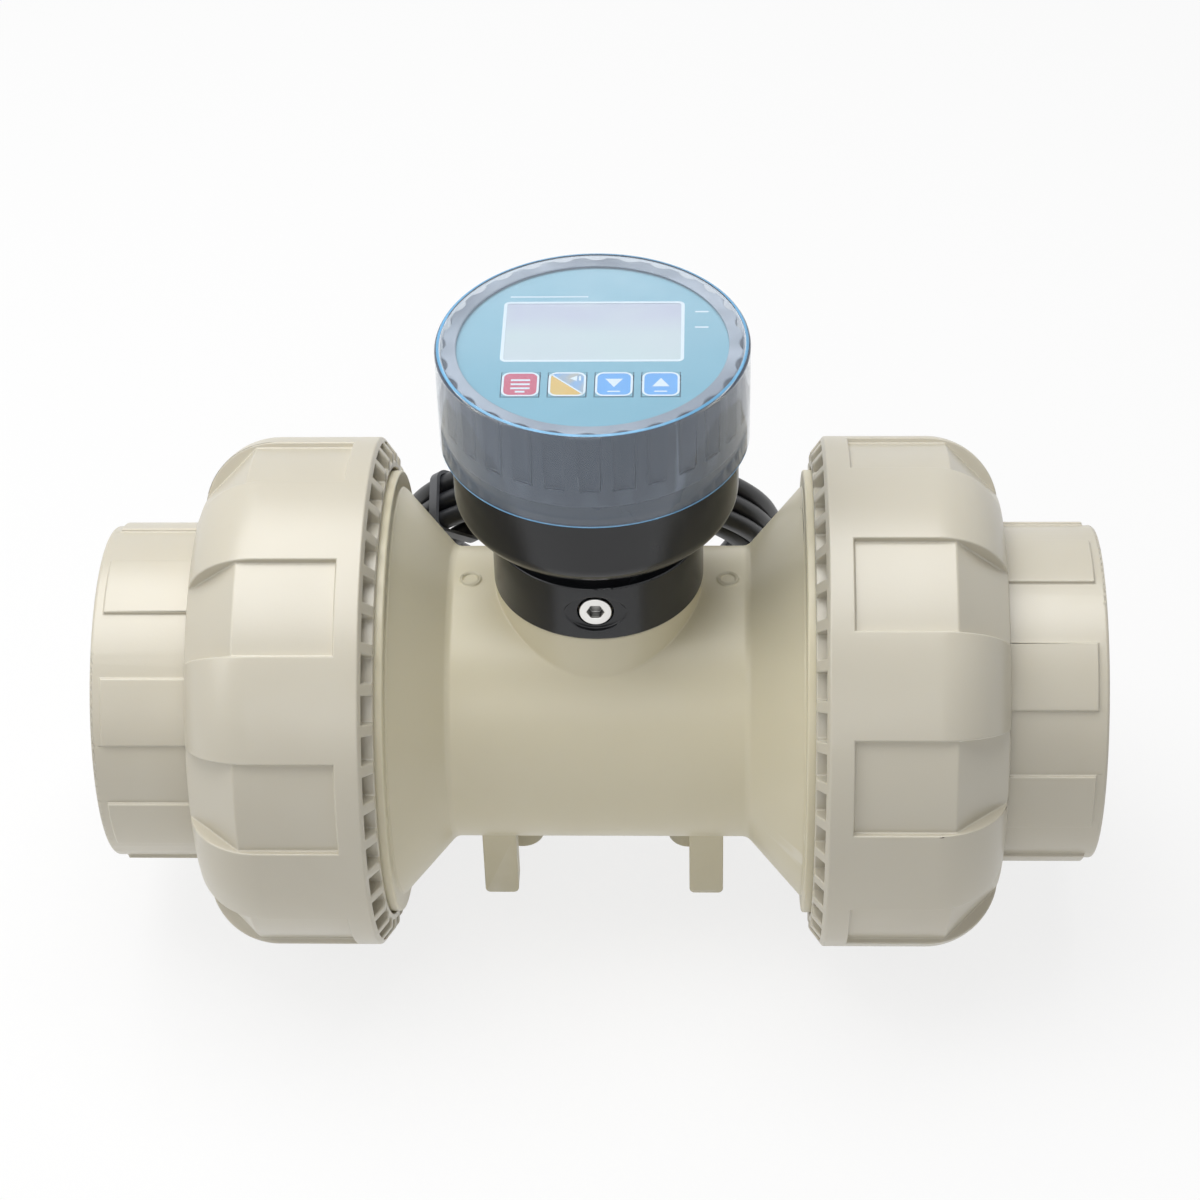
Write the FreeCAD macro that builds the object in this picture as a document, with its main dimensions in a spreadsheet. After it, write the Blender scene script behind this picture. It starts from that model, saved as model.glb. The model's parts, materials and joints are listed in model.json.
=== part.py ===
"""Electromagnetic flow meter with true-union ends, as a parametric FreeCAD document.

The pipe axis runs along X at the height axis_height, +Z is up and the floor is z = 0: the meter
rests on its two union nuts. Heights in the sheet count from the pipe axis, because every body is
drawn about that axis and then lifted by its Placement. Outward means away from the middle, along X.
"""
import FreeCAD
import Part
import math
import os

import Sketcher
from FreeCAD import Placement, Rotation, Vector

X_AXIS = Vector(1, 0, 0)
Y_AXIS = Vector(0, 1, 0)
Z_AXIS = Vector(0, 0, 1)

# Driving dimensions in millimetres and degrees: alias, number, meaning.
SHEET_ROWS = [
    ("axis_height", 70.0, "pipe axis above the floor, which is the nuts' own radius"),
    ("edge_fine", 0.3, "rounding of the thinnest edges"),
    ("edge_light", 0.4, "light rounding of an edge"),
    ("edge_soft", 0.6, "soft rounding of an edge"),
    ("edge_plain", 0.8, "usual rounding of a moulded edge"),
    ("edge_full", 1.0, "full rounding of a moulded edge"),
    ("edge_cap", 1.2, "rounded top edge of the dust cap"),
    ("edge_round", 1.5, "rounding of the legs and of the probe's tip"),
    ("cone_blend", 3.0, "rounding where a cone meets the tube"),
    ("electrode_cap", 0.8, "thickness of an electrode's button"),
    ("harness_radius", 1.8, "sensor harness"),
    ("post_hole", 1.1, "radius of the hole in a carrier post"),
    ("key_rim", 1.0, "thickness of a key's hidden rim"),
    ("board_screw_radius", 2.0, "head of a board screw"),
    ("board_screw_head", 1.4, "thickness of a board screw's head"),
    ("locknut_thick", 3.0, "thickness of the gland's lock nut"),
    ("gland_dome", 3.0, "rounding at the mouth of the gland nut"),
    # Moulded meter body
    ("bore_radius", 32.5, "flow bore"),
    ("tube_radius", 40.0, "plain tube in the middle"),
    ("tube_half", 40.0, "half length of the plain tube"),
    ("cone_radius", 56.0, "large end of each cone"),
    ("cone_end", 54.2, "outer end of each cone"),
    ("collar_radius", 60.8, "shoulder ring that the nut covers"),
    ("collar_end", 58.2, "outer side of the shoulder ring"),
    ("thread_radius", 56.2, "root of the male union thread"),
    ("body_end", 78.0, "face that the union end seals on"),
    ("seal_radius", 42.5, "centre line of the face seal"),
    ("seal_thickness", 3.4, "cord diameter of the face seal"),
    ("saddle_radius", 27.5, "upright boss that carries the head"),
    ("saddle_top", 42.6, "top of the upright boss"),
    ("spigot_radius", 24.1, "neck inside the black collar"),
    ("spigot_top", 54.0, "top of the neck"),
    ("foot_drop", 54.5, "underside of the feet below the pipe axis"),
    ("leg_x", 28.7, "legs, from the middle"),
    ("leg_width", 9.4, "legs along X"),
    ("leg_outer", 24.4, "outer side of the legs along Y"),
    ("leg_thick", 8.0, "legs along Y"),
    ("boss_x", 23.8, "screw bosses, from the middle"),
    ("boss_radius", 6.0, "screw bosses"),
    ("insert_radius", 4.0, "brass insert, outside"),
    ("insert_bore", 2.5, "tapping radius of the M6 insert"),
    ("insert_length", 12.0, "brass insert"),
    ("mark_x", 34.5, "mould date marks, from the middle"),
    ("mark_radius", 2.8, "mould date marks"),
    ("mark_rise", 0.3, "mould date marks above the tube"),
    # Union end, the same at both sides
    ("flange_radius", 56.0, "flange that the nut pulls in"),
    ("flange_end", 90.0, "outer side of the flange"),
    ("socket_radius", 45.5, "outside of the pipe socket"),
    ("socket_end", 134.0, "mouth of the pipe socket"),
    ("socket_bore", 37.5, "pipe socket for 75 mm pipe"),
    ("socket_depth", 31.0, "depth of the pipe socket"),
    ("pad_rise", 1.0, "raised pads on the socket"),
    ("pad_margin", 3.0, "bare strip at the mouth"),
    ("pad_count", 8, "raised pads round the socket"),
    ("pad_gap_angle", 22.6, "space between two pads"),
    ("pad_turn_left", 33.3, "turn of the left union end about X"),
    ("pad_turn_right", 21.0, "turn of the right union end about X"),
    # Union nut, the same at both sides
    ("nut_radius", 70.0, "outside over the raised panels"),
    ("nut_start", 57.0, "inner end with the ribbed ring"),
    ("nut_rim", 60.5, "where the ribbed chamfer meets the rim"),
    ("nut_end", 107.8, "outer end"),
    ("chamfer_foot", 65.5, "radius at the foot of the ribbed chamfer"),
    ("shoulder_radius", 19.5, "rounded shoulder of a raised panel"),
    ("lip_radius", 47.4, "hole that slides along the socket"),
    ("lip_start", 90.3, "inner side of the lip"),
    ("nut_bore", 58.4, "root of the female union thread"),
    ("mouth_radius", 61.6, "counterbore over the shoulder ring"),
    ("mouth_depth", 5.0, "counterbore over the shoulder ring"),
    ("panel_count", 8, "raised panels"),
    ("recess_angle", 21.7, "space between two raised panels"),
    ("recess_depth", 1.7, "space between two raised panels"),
    ("recess_start", 66.8, "recess, beside the rim band"),
    ("recess_bend", 93.2, "where the recess turns into its chamfer"),
    ("rib_count", 40, "ribs in the inner end"),
    ("pocket_angle", 6.3, "pocket between two ribs"),
    ("pocket_inner", 63.3, "pocket, towards the axis"),
    ("pocket_outer", 68.6, "pocket, towards the rim"),
    ("pocket_depth", 9.0, "pocket along X"),
    ("nut_turn_left", 30.2, "turn of the left nut about X"),
    ("nut_turn_right", 24.8, "turn of the right nut about X"),
    # Neck, probe and its coil
    ("neck_radius", 27.9, "outside of the black collar"),
    ("neck_bottom", 42.8, "underside of the black collar"),
    ("neck_top", 59.8, "top of the black collar"),
    ("neck_bore", 24.3, "inside of the black collar"),
    ("screw_height", 51.2, "axis of the locking screw"),
    ("pocket_flat", 1.35, "depth of the eye-shaped pocket"),
    ("eye_half", 8.5, "half length of the eye-shaped pocket"),
    ("eye_rise", 5.7, "half height of the eye-shaped pocket"),
    ("head_radius", 4.25, "M5 socket-head screw, head"),
    ("head_length", 5.0, "M5 socket-head screw, head"),
    ("shank_radius", 2.4, "M5 socket-head screw, shank"),
    ("shank_length", 5.0, "M5 socket-head screw, shank"),
    ("hex_flats", 4.0, "M5 socket-head screw, hexagon across flats"),
    ("hex_depth", 2.6, "M5 socket-head screw, hexagon"),
    ("head_gap", 0.45, "clearance round the screw's head"),
    ("probe_radius", 15.0, "probe that reaches into the flow"),
    ("probe_wall", 2.5, "probe wall"),
    ("probe_tip", 24.5, "probe tip above the pipe axis"),
    ("probe_flange", 3.5, "thickness of the probe flange"),
    ("probe_rim", 21.0, "radius of the probe flange"),
    ("probe_seal", 1.8, "cord diameter of the probe's seals"),
    ("seal_low", 37.0, "lower probe seal"),
    ("seal_high", 44.0, "upper probe seal"),
    ("electrode_radius", 2.0, "electrode button"),
    ("electrode_pitch", 8.5, "electrodes, from the probe's axis"),
    ("coil_radius", 11.0, "field coil, outside"),
    ("coil_bottom", 30.0, "underside of the field coil"),
    ("coil_height", 16.0, "field coil"),
    ("core_radius", 4.0, "iron core"),
    # Head
    ("bowl_radius", 37.15, "outside of the head housing"),
    ("bowl_bottom", 62.4, "lowest point of the rounded underside"),
    ("bowl_round", 11.0, "height of the rounded underside"),
    ("bowl_centre", 14.0, "radius at which the rounded underside is flat"),
    ("bowl_top", 95.0, "shoulder under the bezel ring"),
    ("bowl_wall", 2.95, "wall of the head housing"),
    ("bowl_floor", 66.5, "inside floor of the head housing"),
    ("floor_radius", 26.0, "inside floor of the head housing"),
    ("wire_hole", 12.0, "hole from the probe into the head"),
    ("rim_radius", 34.9, "threaded rim that takes the bezel ring"),
    ("rim_bore", 32.0, "inside of the threaded rim"),
    ("rim_top", 103.9, "top of the threaded rim"),
    ("head_seal", 1.6, "cord diameter of the head's seal"),
    ("ring_radius", 38.3, "bezel ring over its ridges"),
    ("ring_bottom", 95.3, "underside of the bezel ring"),
    ("ring_top", 117.0, "top of the bezel ring"),
    ("ring_band", 100.0, "lower end of the flutes"),
    ("ring_bore", 35.3, "inside of the bezel ring"),
    ("ring_lip", 34.5, "opening in the top of the bezel ring"),
    ("lip_thick", 0.9, "lip at the top of the bezel ring"),
    ("flute_count", 28, "flutes of the bezel ring"),
    ("flute_depth", 1.2, "flutes of the bezel ring"),
    ("flute_round", 4.1, "radius of each flute"),
    ("cap_radius", 40.0, "clear dust cap"),
    ("cap_wall", 1.1, "clear dust cap, side wall"),
    ("cap_roof", 0.8, "clear dust cap, top wall"),
    ("cap_top", 118.0, "top of the dust cap"),
    ("cap_bottom", 89.6, "lower edge of the dust cap"),
    # Display insert
    ("carrier_radius", 35.0, "display carrier"),
    ("carrier_bottom", 104.3, "underside of the display carrier"),
    ("carrier_top", 115.1, "top of the display carrier"),
    ("carrier_wall", 2.0, "display carrier"),
    ("panel_thick", 0.8, "printed face panel"),
    ("window_x", 45.5, "display window along X"),
    ("window_y", 25.3, "display window along Y"),
    ("window_centre", 6.6, "display window, from the middle"),
    ("lcd_x", 48.0, "display module along X"),
    ("lcd_y", 30.0, "display module along Y"),
    ("lcd_thick", 5.25, "display module"),
    ("key_x", 9.4, "key along X"),
    ("key_y", 10.0, "key along Y"),
    ("key_pitch", 11.67, "distance between keys"),
    ("key_centre", -16.15, "row of keys, from the middle"),
    ("key_gap", 0.25, "clearance round a key"),
    ("key_rise", 0.15, "key above the face panel"),
    ("key_flange", 0.6, "key's hidden rim, beyond the key"),
    ("board_thick", 1.6, "circuit boards"),
    ("display_board", 106.2, "underside of the display board"),
    ("board_radius", 32.4, "display board"),
    ("post_pitch", 28.3, "carrier posts, from the middle"),
    ("post_radius", 2.4, "carrier posts"),
    ("switch_side", 6.0, "tactile switch"),
    ("switch_height", 3.2, "tactile switch"),
    ("main_board", 89.5, "underside of the main board"),
    ("main_radius", 31.0, "main board"),
    ("spacer_pitch", 23.0, "board spacers, from the middle"),
    ("spacer_radius", 2.5, "board spacers"),
    ("terminal_front", 11.0, "terminal block, near side along Y"),
    ("terminal_back", 19.0, "terminal block, far side along Y"),
    # Cable gland and cable
    ("gland_height", 80.5, "axis of the cable gland"),
    ("gland_seat", 38.6, "flat seat of the gland on the housing"),
    ("gland_boss", 9.5, "radius of the gland's seat"),
    ("gland_thread", 6.0, "gland thread"),
    ("gland_flats", 16.0, "gland hexagon across flats"),
    ("gland_hex", 4.0, "thickness of the gland's hexagon"),
    ("gland_inside", 9.0, "gland thread inside the wall"),
    ("gland_outside", 6.0, "gland thread outside the hexagon"),
    ("gland_nut_radius", 7.6, "gland nut"),
    ("gland_nut_length", 11.0, "gland nut"),
    ("cable_radius", 2.75, "cable"),
    ("cable_inside", 27.0, "inner end of the cable, behind the middle of the head"),
    ("core_thick", 0.55, "radius of an insulated core"),
    ("cable_gap", 0.2, "clearance round the cable in the gland"),
    ("coil_outer", 57.0, "cable coil, outside"),
    ("coil_deep", 11.0, "cable coil, two strands from inside to outside"),
    ("coil_wide", 16.5, "cable coil, three strands from front to back"),
    ("coil_lean", 30.0, "lean of the cable coil towards the meter"),
    ("coil_back", 84.8, "middle of the cable coil behind the pipe axis"),
    ("coil_side", -6.0, "middle of the cable coil along X"),
    ("tie_wide", 3.6, "cable tie"),
    ("tie_thick", 1.0, "cable tie"),
]

# The lead's corners behind the head, in millimetres in the part's frame, from the gland down to
# the coil. The first run starts at the gland nut and the last one ends in the coil.
LEAD_ROUTE = [
    (0, 70, 150.5), (2, 85, 144), (6, 95, 131), (13, 99.5, 111), (23, 100.5, 88),
    (35, 100, 65), (40.5, 101.5, 41),
]
LEAD_JOINS_AT = -45
# The tail's corners on the floor, from the foot of the coil to the cable's bare end.
TAIL_ROUTE = [(-27, 110.5, 3.2), (-46, 116, 2.9)]
TAIL_LEAVES_AT = -90
TIE_ANGLES = (140, -5)

doc = FreeCAD.newDocument("FlowMeter")
sheet = doc.addObject("Spreadsheet::Sheet", "Dims")
PARTS = []


class Size:
    """A dimension: its number, and the spreadsheet formula that gives it."""

    def __init__(self, value, text):
        self.value = value
        self.text = text

    def __add__(self, other):
        other = as_size(other)
        return Size(self.value + other.value, f"({self.text} + {other.text})")

    def __sub__(self, other):
        other = as_size(other)
        return Size(self.value - other.value, f"({self.text} - {other.text})")

    def __mul__(self, other):
        other = as_size(other)
        return Size(self.value * other.value, f"({self.text} * {other.text})")

    def __truediv__(self, other):
        other = as_size(other)
        return Size(self.value / other.value, f"({self.text} / {other.text})")

    def __neg__(self):
        return Size(-self.value, f"(-1 * {self.text})")


def as_size(number):
    """Return a plain number as a Size."""
    return number if isinstance(number, Size) else Size(float(number), repr(float(number)))


NOUGHT = Size(0.0, "0")


def fill_sheet():
    """Write the driving dimensions into the spreadsheet and return them by alias."""
    sizes = {}
    for row, (alias, number, meaning) in enumerate(SHEET_ROWS, start=1):
        sheet.set(f"A{row}", meaning)
        sheet.set(f"B{row}", str(number))
        sheet.setAlias(f"B{row}", alias)
        sizes[alias] = Size(float(number), f"Dims.{alias}")
    doc.recompute()
    return sizes


D = fill_sheet()


# ---------------------------------------------------------------------------------------------
# Helpers
# ---------------------------------------------------------------------------------------------

def bind(thing, prop, size):
    """Bind one property to the spreadsheet."""
    thing.setExpression(prop, as_size(size).text)


def lift(thing, x=0, y=0, z=0):
    """Move a sub-part from the pipe axis to its place, by expressions on its Placement."""
    bind(thing, "Placement.Base.x", x)
    bind(thing, "Placement.Base.y", y)
    bind(thing, "Placement.Base.z", D["axis_height"] + z)


def keep(thing, label):
    """Name a finished sub-part and put it on the list of those to write."""
    thing.Label = label
    PARTS.append(thing)
    return thing


def new_body(label):
    """Start a PartDesign body that is drawn about the pipe axis."""
    body = keep(doc.addObject("PartDesign::Body", label), label)
    lift(body)
    return body


def new_sketch(body, role, name, offset=NOUGHT, spin=NOUGHT):
    """Attach a sketch to an origin plane, moved along its normal or turned about its own x."""
    sketch = body.newObject("Sketcher::SketchObject", name)
    plane = [item for item in body.Origin.OriginFeatures if item.Role == role][0]
    sketch.AttachmentSupport = [(plane, "")]
    sketch.MapMode = "FlatFace"
    sketch.AttachmentOffset = Placement(Vector(0, 0, offset.value), Rotation(X_AXIS, spin.value))
    if offset is not NOUGHT:
        bind(sketch, "AttachmentOffset.Base.z", offset)
    if spin is not NOUGHT:
        bind(sketch, "AttachmentOffset.Rotation.Angle", spin)
    return sketch


def hold(sketch, kind, *where):
    """Add a constraint; its last value may be a Size, which is then bound to the sheet."""
    size = where[-1]
    if not isinstance(size, Size):
        return sketch.addConstraint(Sketcher.Constraint(kind, *where))
    index = sketch.addConstraint(Sketcher.Constraint(kind, *where[:-1], size.value))
    sketch.setExpression(f"Constraints[{index}]", size.text)
    return index


def hold_point(sketch, item, end, u, v):
    """Hold a point of the sketch at (u, v) from its origin."""
    u, v = as_size(u), as_size(v)
    if u is NOUGHT or u.value == 0:
        hold(sketch, "PointOnObject", item, end, -2)
    else:
        hold(sketch, "DistanceX", -1, 1, item, end, u)
    if v is NOUGHT or v.value == 0:
        hold(sketch, "PointOnObject", item, end, -1)
    else:
        hold(sketch, "DistanceY", -1, 1, item, end, v)


def rounding(before, corner, after, radius):
    """Return the start, middle and end of the arc that rounds one corner."""
    back = (before - corner).normalize()
    ahead = (after - corner).normalize()
    half = back.getAngle(ahead) / 2
    reach = radius / math.tan(half)
    middle = (back + ahead).normalize()
    centre = corner + middle * (radius / math.sin(half))
    return corner + back * reach, centre - middle * radius, corner + ahead * reach


def outline(sketch, corners):
    """Draw a closed outline through corners (u, v) or (u, v, radius of its rounding)."""
    places = [Vector(as_size(c[0]).value, as_size(c[1]).value, 0) for c in corners]
    count = len(corners)
    arcs = {}
    for i, corner in enumerate(corners):
        if len(corner) == 3:
            arcs[i] = rounding(places[i - 1], places[i], places[(i + 1) % count], corner[2].value)
    lines = []
    for i in range(count):
        start = arcs[i][2] if i in arcs else places[i]
        after = (i + 1) % count
        end = arcs[after][0] if after in arcs else places[after]
        lines.append(sketch.addGeometry(Part.LineSegment(start, end), False))
    for i, corner in enumerate(corners):
        before = lines[i - 1]
        after = lines[i]
        if i not in arcs:
            hold(sketch, "Coincident", before, 2, after, 1)
            hold_point(sketch, after, 1, corner[0], corner[1])
            continue
        start, middle, end = arcs[i]
        arc = sketch.addGeometry(Part.Arc(start, middle, end), False)
        turn = (middle - start).cross(end - middle).z
        first, last = (1, 2) if turn > 0 else (2, 1)
        tip = sketch.addGeometry(Part.Point(places[i]), True)
        hold(sketch, "Tangent", before, 2, arc, first)
        hold(sketch, "Tangent", arc, last, after, 1)
        hold(sketch, "PointOnObject", tip, 1, before)
        hold(sketch, "PointOnObject", tip, 1, after)
        hold(sketch, "Radius", arc, corner[2])
        hold_point(sketch, tip, 1, corner[0], corner[1])


def circle(sketch, u, v, radius):
    """Draw a circle that is held at (u, v)."""
    place = Vector(as_size(u).value, as_size(v).value, 0)
    item = sketch.addGeometry(Part.Circle(place, Z_AXIS, radius.value), False)
    hold(sketch, "Radius", item, radius)
    hold_point(sketch, item, 3, u, v)


def rectangle(sketch, u_low, v_low, u_high, v_high):
    """Draw a rectangle between two held corners."""
    outline(sketch, [(u_low, v_low), (u_high, v_low), (u_high, v_high), (u_low, v_high)])


def turned(body, name, role, axis, corners, cut=False, angle=None, spin=NOUGHT):
    """Revolve an outline about a sketch axis, as material or, with cut, as a groove."""
    sketch = new_sketch(body, role, f"{name}Outline", spin=spin)
    outline(sketch, corners)
    doc.recompute()
    kind = "PartDesign::Groove" if cut else "PartDesign::Revolution"
    feature = body.newObject(kind, name)
    feature.Profile = sketch
    feature.ReferenceAxis = (sketch, [axis])
    if angle is not None:
        bind(feature, "Angle", angle)
        feature.Midplane = True
    doc.recompute()
    return feature


def raised(body, name, sketch, length):
    """Pad a finished sketch."""
    doc.recompute()
    pad = body.newObject("PartDesign::Pad", name)
    pad.Profile = sketch
    bind(pad, "Length", length)
    doc.recompute()
    return pad


def sunk(body, name, sketch, depth, flip=False):
    """Cut a pocket and check that it took material away."""
    doc.recompute()
    before = body.Shape.Volume
    pocket = body.newObject("PartDesign::Pocket", name)
    pocket.Profile = sketch
    bind(pocket, "Length", depth)
    pocket.Reversed = flip
    doc.recompute()
    if not body.Shape.Volume < before:
        raise RuntimeError(f"{body.Label}: {name} cuts nothing")
    return pocket


def ringed(body, name, feature, sketch, axis, count):
    """Repeat one feature evenly round an axis of its sketch."""
    pattern = body.newObject("PartDesign::PolarPattern", name)
    pattern.Originals = [feature]
    pattern.Axis = (sketch, [axis])
    pattern.Angle = 360
    bind(pattern, "Occurrences", count)
    body.Tip = pattern
    doc.recompute()
    return pattern


def rounded_edges(body, name, radius, chosen):
    """Round the edges of the tip that chosen(edge) picks."""
    tip = body.Tip
    names = [f"Edge{i}" for i, edge in enumerate(tip.Shape.Edges, start=1) if chosen(edge)]
    if not names:
        raise RuntimeError(f"{body.Label}: {name} finds no edge")
    fillet = body.newObject("PartDesign::Fillet", name)
    fillet.Base = (tip, names)
    bind(fillet, "Radius", radius)
    doc.recompute()
    return fillet


def rod(label, radius, length, direction=Z_AXIS, x=0, y=0, z=0):
    """Make a cylinder from its foot at (x, y, z) above the pipe axis."""
    item = doc.addObject("Part::Cylinder", label)
    item.Placement = Placement(Vector(), Rotation(Z_AXIS, direction))
    bind(item, "Radius", radius)
    bind(item, "Height", length)
    lift(item, x, y, z)
    return item


def block(label, width, depth, height, x=0, y=0, z=0):
    """Make a box whose foot is centred on (x, y) at the height z above the pipe axis."""
    item = doc.addObject("Part::Box", label)
    bind(item, "Length", width)
    bind(item, "Width", depth)
    bind(item, "Height", height)
    lift(item, as_size(x) - as_size(width) / 2, as_size(y) - as_size(depth) / 2, z)
    return item


def hexagon(label, flats, length, direction=Z_AXIS, x=0, y=0, z=0):
    """Make a hexagonal prism from its foot at (x, y, z)."""
    item = doc.addObject("Part::Prism", label)
    item.Polygon = 6
    item.Placement = Placement(Vector(), Rotation(Z_AXIS, direction))
    bind(item, "Circumradius", as_size(flats) / math.sqrt(3))
    bind(item, "Height", length)
    lift(item, x, y, z)
    return item


def torus(label, radius, thickness, direction=Z_AXIS, x=0, z=0):
    """Make a seal ring round the given direction."""
    item = doc.addObject("Part::Torus", label)
    item.Placement = Placement(Vector(), Rotation(Z_AXIS, direction))
    bind(item, "Radius1", radius)
    bind(item, "Radius2", as_size(thickness) / 2)
    lift(item, x, 0, z)
    return item


def less(label, base, *tools):
    """Cut tools from a base."""
    for number, tool in enumerate(tools):
        cut = doc.addObject("Part::Cut", f"{label}Cut{number}")
        cut.Base = base
        cut.Tool = tool
        base = cut
    return base


def joined(label, items):
    """Fuse or group several shapes in one object; shapes apart stay separate solids."""
    fuse = doc.addObject("Part::MultiFuse", f"{label}Group")
    fuse.Shapes = items
    return fuse


# ---------------------------------------------------------------------------------------------
# Pipe side: meter body, union ends, nuts and seals
# ---------------------------------------------------------------------------------------------

def make_meter_body():
    """Mould the body: tube, cones, shoulder rings, threaded ends, saddle, legs and bosses."""
    body = new_body("meter_body")
    right = [
        (D["body_end"], D["thread_radius"], D["edge_full"]),
        (D["collar_end"], D["thread_radius"]),
        (D["collar_end"], D["collar_radius"], D["edge_soft"]),
        (D["cone_end"] + 0.6, D["collar_radius"], D["edge_soft"]),
        (D["cone_end"] + 0.6, D["cone_radius"]),
        (D["cone_end"], D["cone_radius"], D["edge_light"]),
        (D["tube_half"], D["tube_radius"], D["cone_blend"]),
    ]
    left = [(-corner[0],) + corner[1:] for corner in reversed(right)]
    corners = [(-D["body_end"], NOUGHT), (D["body_end"], NOUGHT)] + right + left
    turned(body, "Barrel", "XY_Plane", "H_Axis", corners)
    add_saddle(body)
    add_feet(body)
    cut_flow_bore(body)
    cut_neck(body)
    return body


def add_saddle(body):
    """Raise the upright boss, its neck and the two mould marks from inside the tube wall."""
    inside_wall = D["tube_radius"] - 10
    for name, radius, top in (("Saddle", D["saddle_radius"], D["saddle_top"]),
                              ("Spigot", D["spigot_radius"], D["spigot_top"])):
        sketch = new_sketch(body, "XY_Plane", f"{name}Circle")
        circle(sketch, NOUGHT, NOUGHT, radius)
        raised(body, name, sketch, top)
    sketch = new_sketch(body, "XY_Plane", "MarkCircles", offset=inside_wall)
    for side in (1, -1):
        circle(sketch, D["mark_x"] * side, NOUGHT, D["mark_radius"])
        circle(sketch, D["mark_x"] * side, NOUGHT, D["mark_radius"] * 0.75)
    raised(body, "Marks", sketch, D["tube_radius"] + D["mark_rise"] - inside_wall)


def add_feet(body):
    """Raise the four legs and two screw bosses under the tube."""
    height = D["foot_drop"] - D["tube_radius"] + 9
    sketch = new_sketch(body, "XY_Plane", "LegOutlines", offset=-D["foot_drop"])
    for side_x in (1, -1):
        for side_y in (1, -1):
            x_near = (D["leg_x"] - D["leg_width"] / 2) * side_x
            x_far = (D["leg_x"] + D["leg_width"] / 2) * side_x
            y_near = (D["leg_outer"] - D["leg_thick"]) * side_y
            rectangle(sketch, x_near, y_near, x_far, D["leg_outer"] * side_y)
    raised(body, "Legs", sketch, height)
    rounded_edges(body, "LegRounds", D["edge_round"], is_leg_edge)
    sketch = new_sketch(body, "XY_Plane", "BossCircles", offset=-D["foot_drop"])
    for side in (1, -1):
        circle(sketch, D["boss_x"] * side, NOUGHT, D["boss_radius"])
    raised(body, "Bosses", sketch, height)


def is_leg_edge(edge):
    """Tell whether an edge is a short side of a leg's underside."""
    box = edge.BoundBox
    return abs(box.ZMax + D["foot_drop"].value) < 0.01 and max(box.ZLength, box.XLength) < 0.01


def cut_flow_bore(body):
    """Cut the flow bore and the two face-seal grooves."""
    reach = D["body_end"] + 1
    turned(body, "FlowBore", "XY_Plane", "H_Axis",
           [(-reach, NOUGHT), (reach, NOUGHT), (reach, D["bore_radius"]),
            (-reach, D["bore_radius"])], cut=True)
    inner = D["seal_radius"] - D["seal_thickness"] / 2 - 0.3
    outer = D["seal_radius"] + D["seal_thickness"] / 2 + 0.3
    for side, name in ((1, "Right"), (-1, "Left")):
        floor = (D["body_end"] - D["seal_thickness"]) * side
        turned(body, f"SealGroove{name}", "XY_Plane", "H_Axis",
               [(floor, inner), (reach * side, inner), (reach * side, outer), (floor, outer)],
               cut=True)


def cut_neck(body):
    """Bore the neck for the probe, the locking screw and the two inserts."""
    sketch = new_sketch(body, "XY_Plane", "ProbeHole")
    circle(sketch, NOUGHT, NOUGHT, D["probe_radius"] + 0.15)
    sunk(body, "ProbeBore", sketch, D["spigot_top"] + 1, flip=True)
    seat = screw_seat()
    for name, radius, depth in (("ScrewHead", D["head_radius"] + D["head_gap"], seat),
                                ("ScrewThread", D["shank_radius"] + 0.1,
                                 seat - D["shank_length"] - 0.5)):
        sketch = new_sketch(body, "XZ_Plane", f"{name}Circle", offset=depth)
        circle(sketch, NOUGHT, D["screw_height"], radius)
        sunk(body, name, sketch, D["neck_radius"], flip=True)
    sketch = new_sketch(body, "XY_Plane", "InsertCircles", offset=-D["foot_drop"])
    for side in (1, -1):
        circle(sketch, D["boss_x"] * side, NOUGHT, D["insert_radius"])
    sunk(body, "InsertHoles", sketch, D["insert_length"] + 0.3, flip=True)


def screw_seat():
    """Return how far the seat under the screw's head lies in front of the neck's axis."""
    return D["neck_radius"] - D["pocket_flat"] - D["head_length"] + 0.4


def make_inserts():
    """Brass inserts in the two bosses, as one group."""
    sleeves = []
    for side in (1, -1):
        x = D["boss_x"] * side
        outer = rod("InsertBlank", D["insert_radius"] - 0.05, D["insert_length"],
                    x=x, z=-D["foot_drop"])
        bore = rod("InsertThread", D["insert_bore"], D["insert_length"] + 2,
                   x=x, z=-D["foot_drop"] - 1)
        sleeves.append(less("Insert", outer, bore))
    keep(joined("Inserts", sleeves), "mounting_inserts")


def make_union_end(label, facing, turn):
    """Turn one union end: flange, socket with its bore, and raised pads cut into eight."""
    body = new_body(label)
    flange_start = D["body_end"] + 0.2
    top = D["socket_radius"] + D["pad_rise"]
    pad_end = D["socket_end"] - D["pad_margin"]
    stop = D["socket_end"] - D["socket_depth"]
    turned(body, "Tailpiece", "XY_Plane", "H_Axis", [
        (flange_start, D["bore_radius"], D["edge_plain"]),
        (stop, D["bore_radius"]),
        (stop, D["socket_bore"]),
        (D["socket_end"] - 1.5, D["socket_bore"]),
        (D["socket_end"], D["socket_bore"] + 1),
        (D["socket_end"], D["socket_radius"], D["edge_full"]),
        (pad_end, D["socket_radius"]),
        (pad_end, top, D["edge_light"]),
        (D["flange_end"], top),
        (D["flange_end"], D["flange_radius"], D["edge_plain"]),
        (flange_start, D["flange_radius"], D["edge_plain"]),
    ])
    reach = top + 1
    gap = turned(body, "PadGap", "XY_Plane", "H_Axis", [
        (D["flange_end"] + 1, D["socket_radius"]), (pad_end + 1, D["socket_radius"]),
        (pad_end + 1, reach), (D["flange_end"] + 1, reach),
    ], cut=True, angle=D["pad_gap_angle"])
    ringed(body, "PadGaps", gap, gap.Profile[0], "H_Axis", D["pad_count"])
    body.Placement.Rotation = Rotation(X_AXIS, turn.value) * facing
    return body


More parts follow.
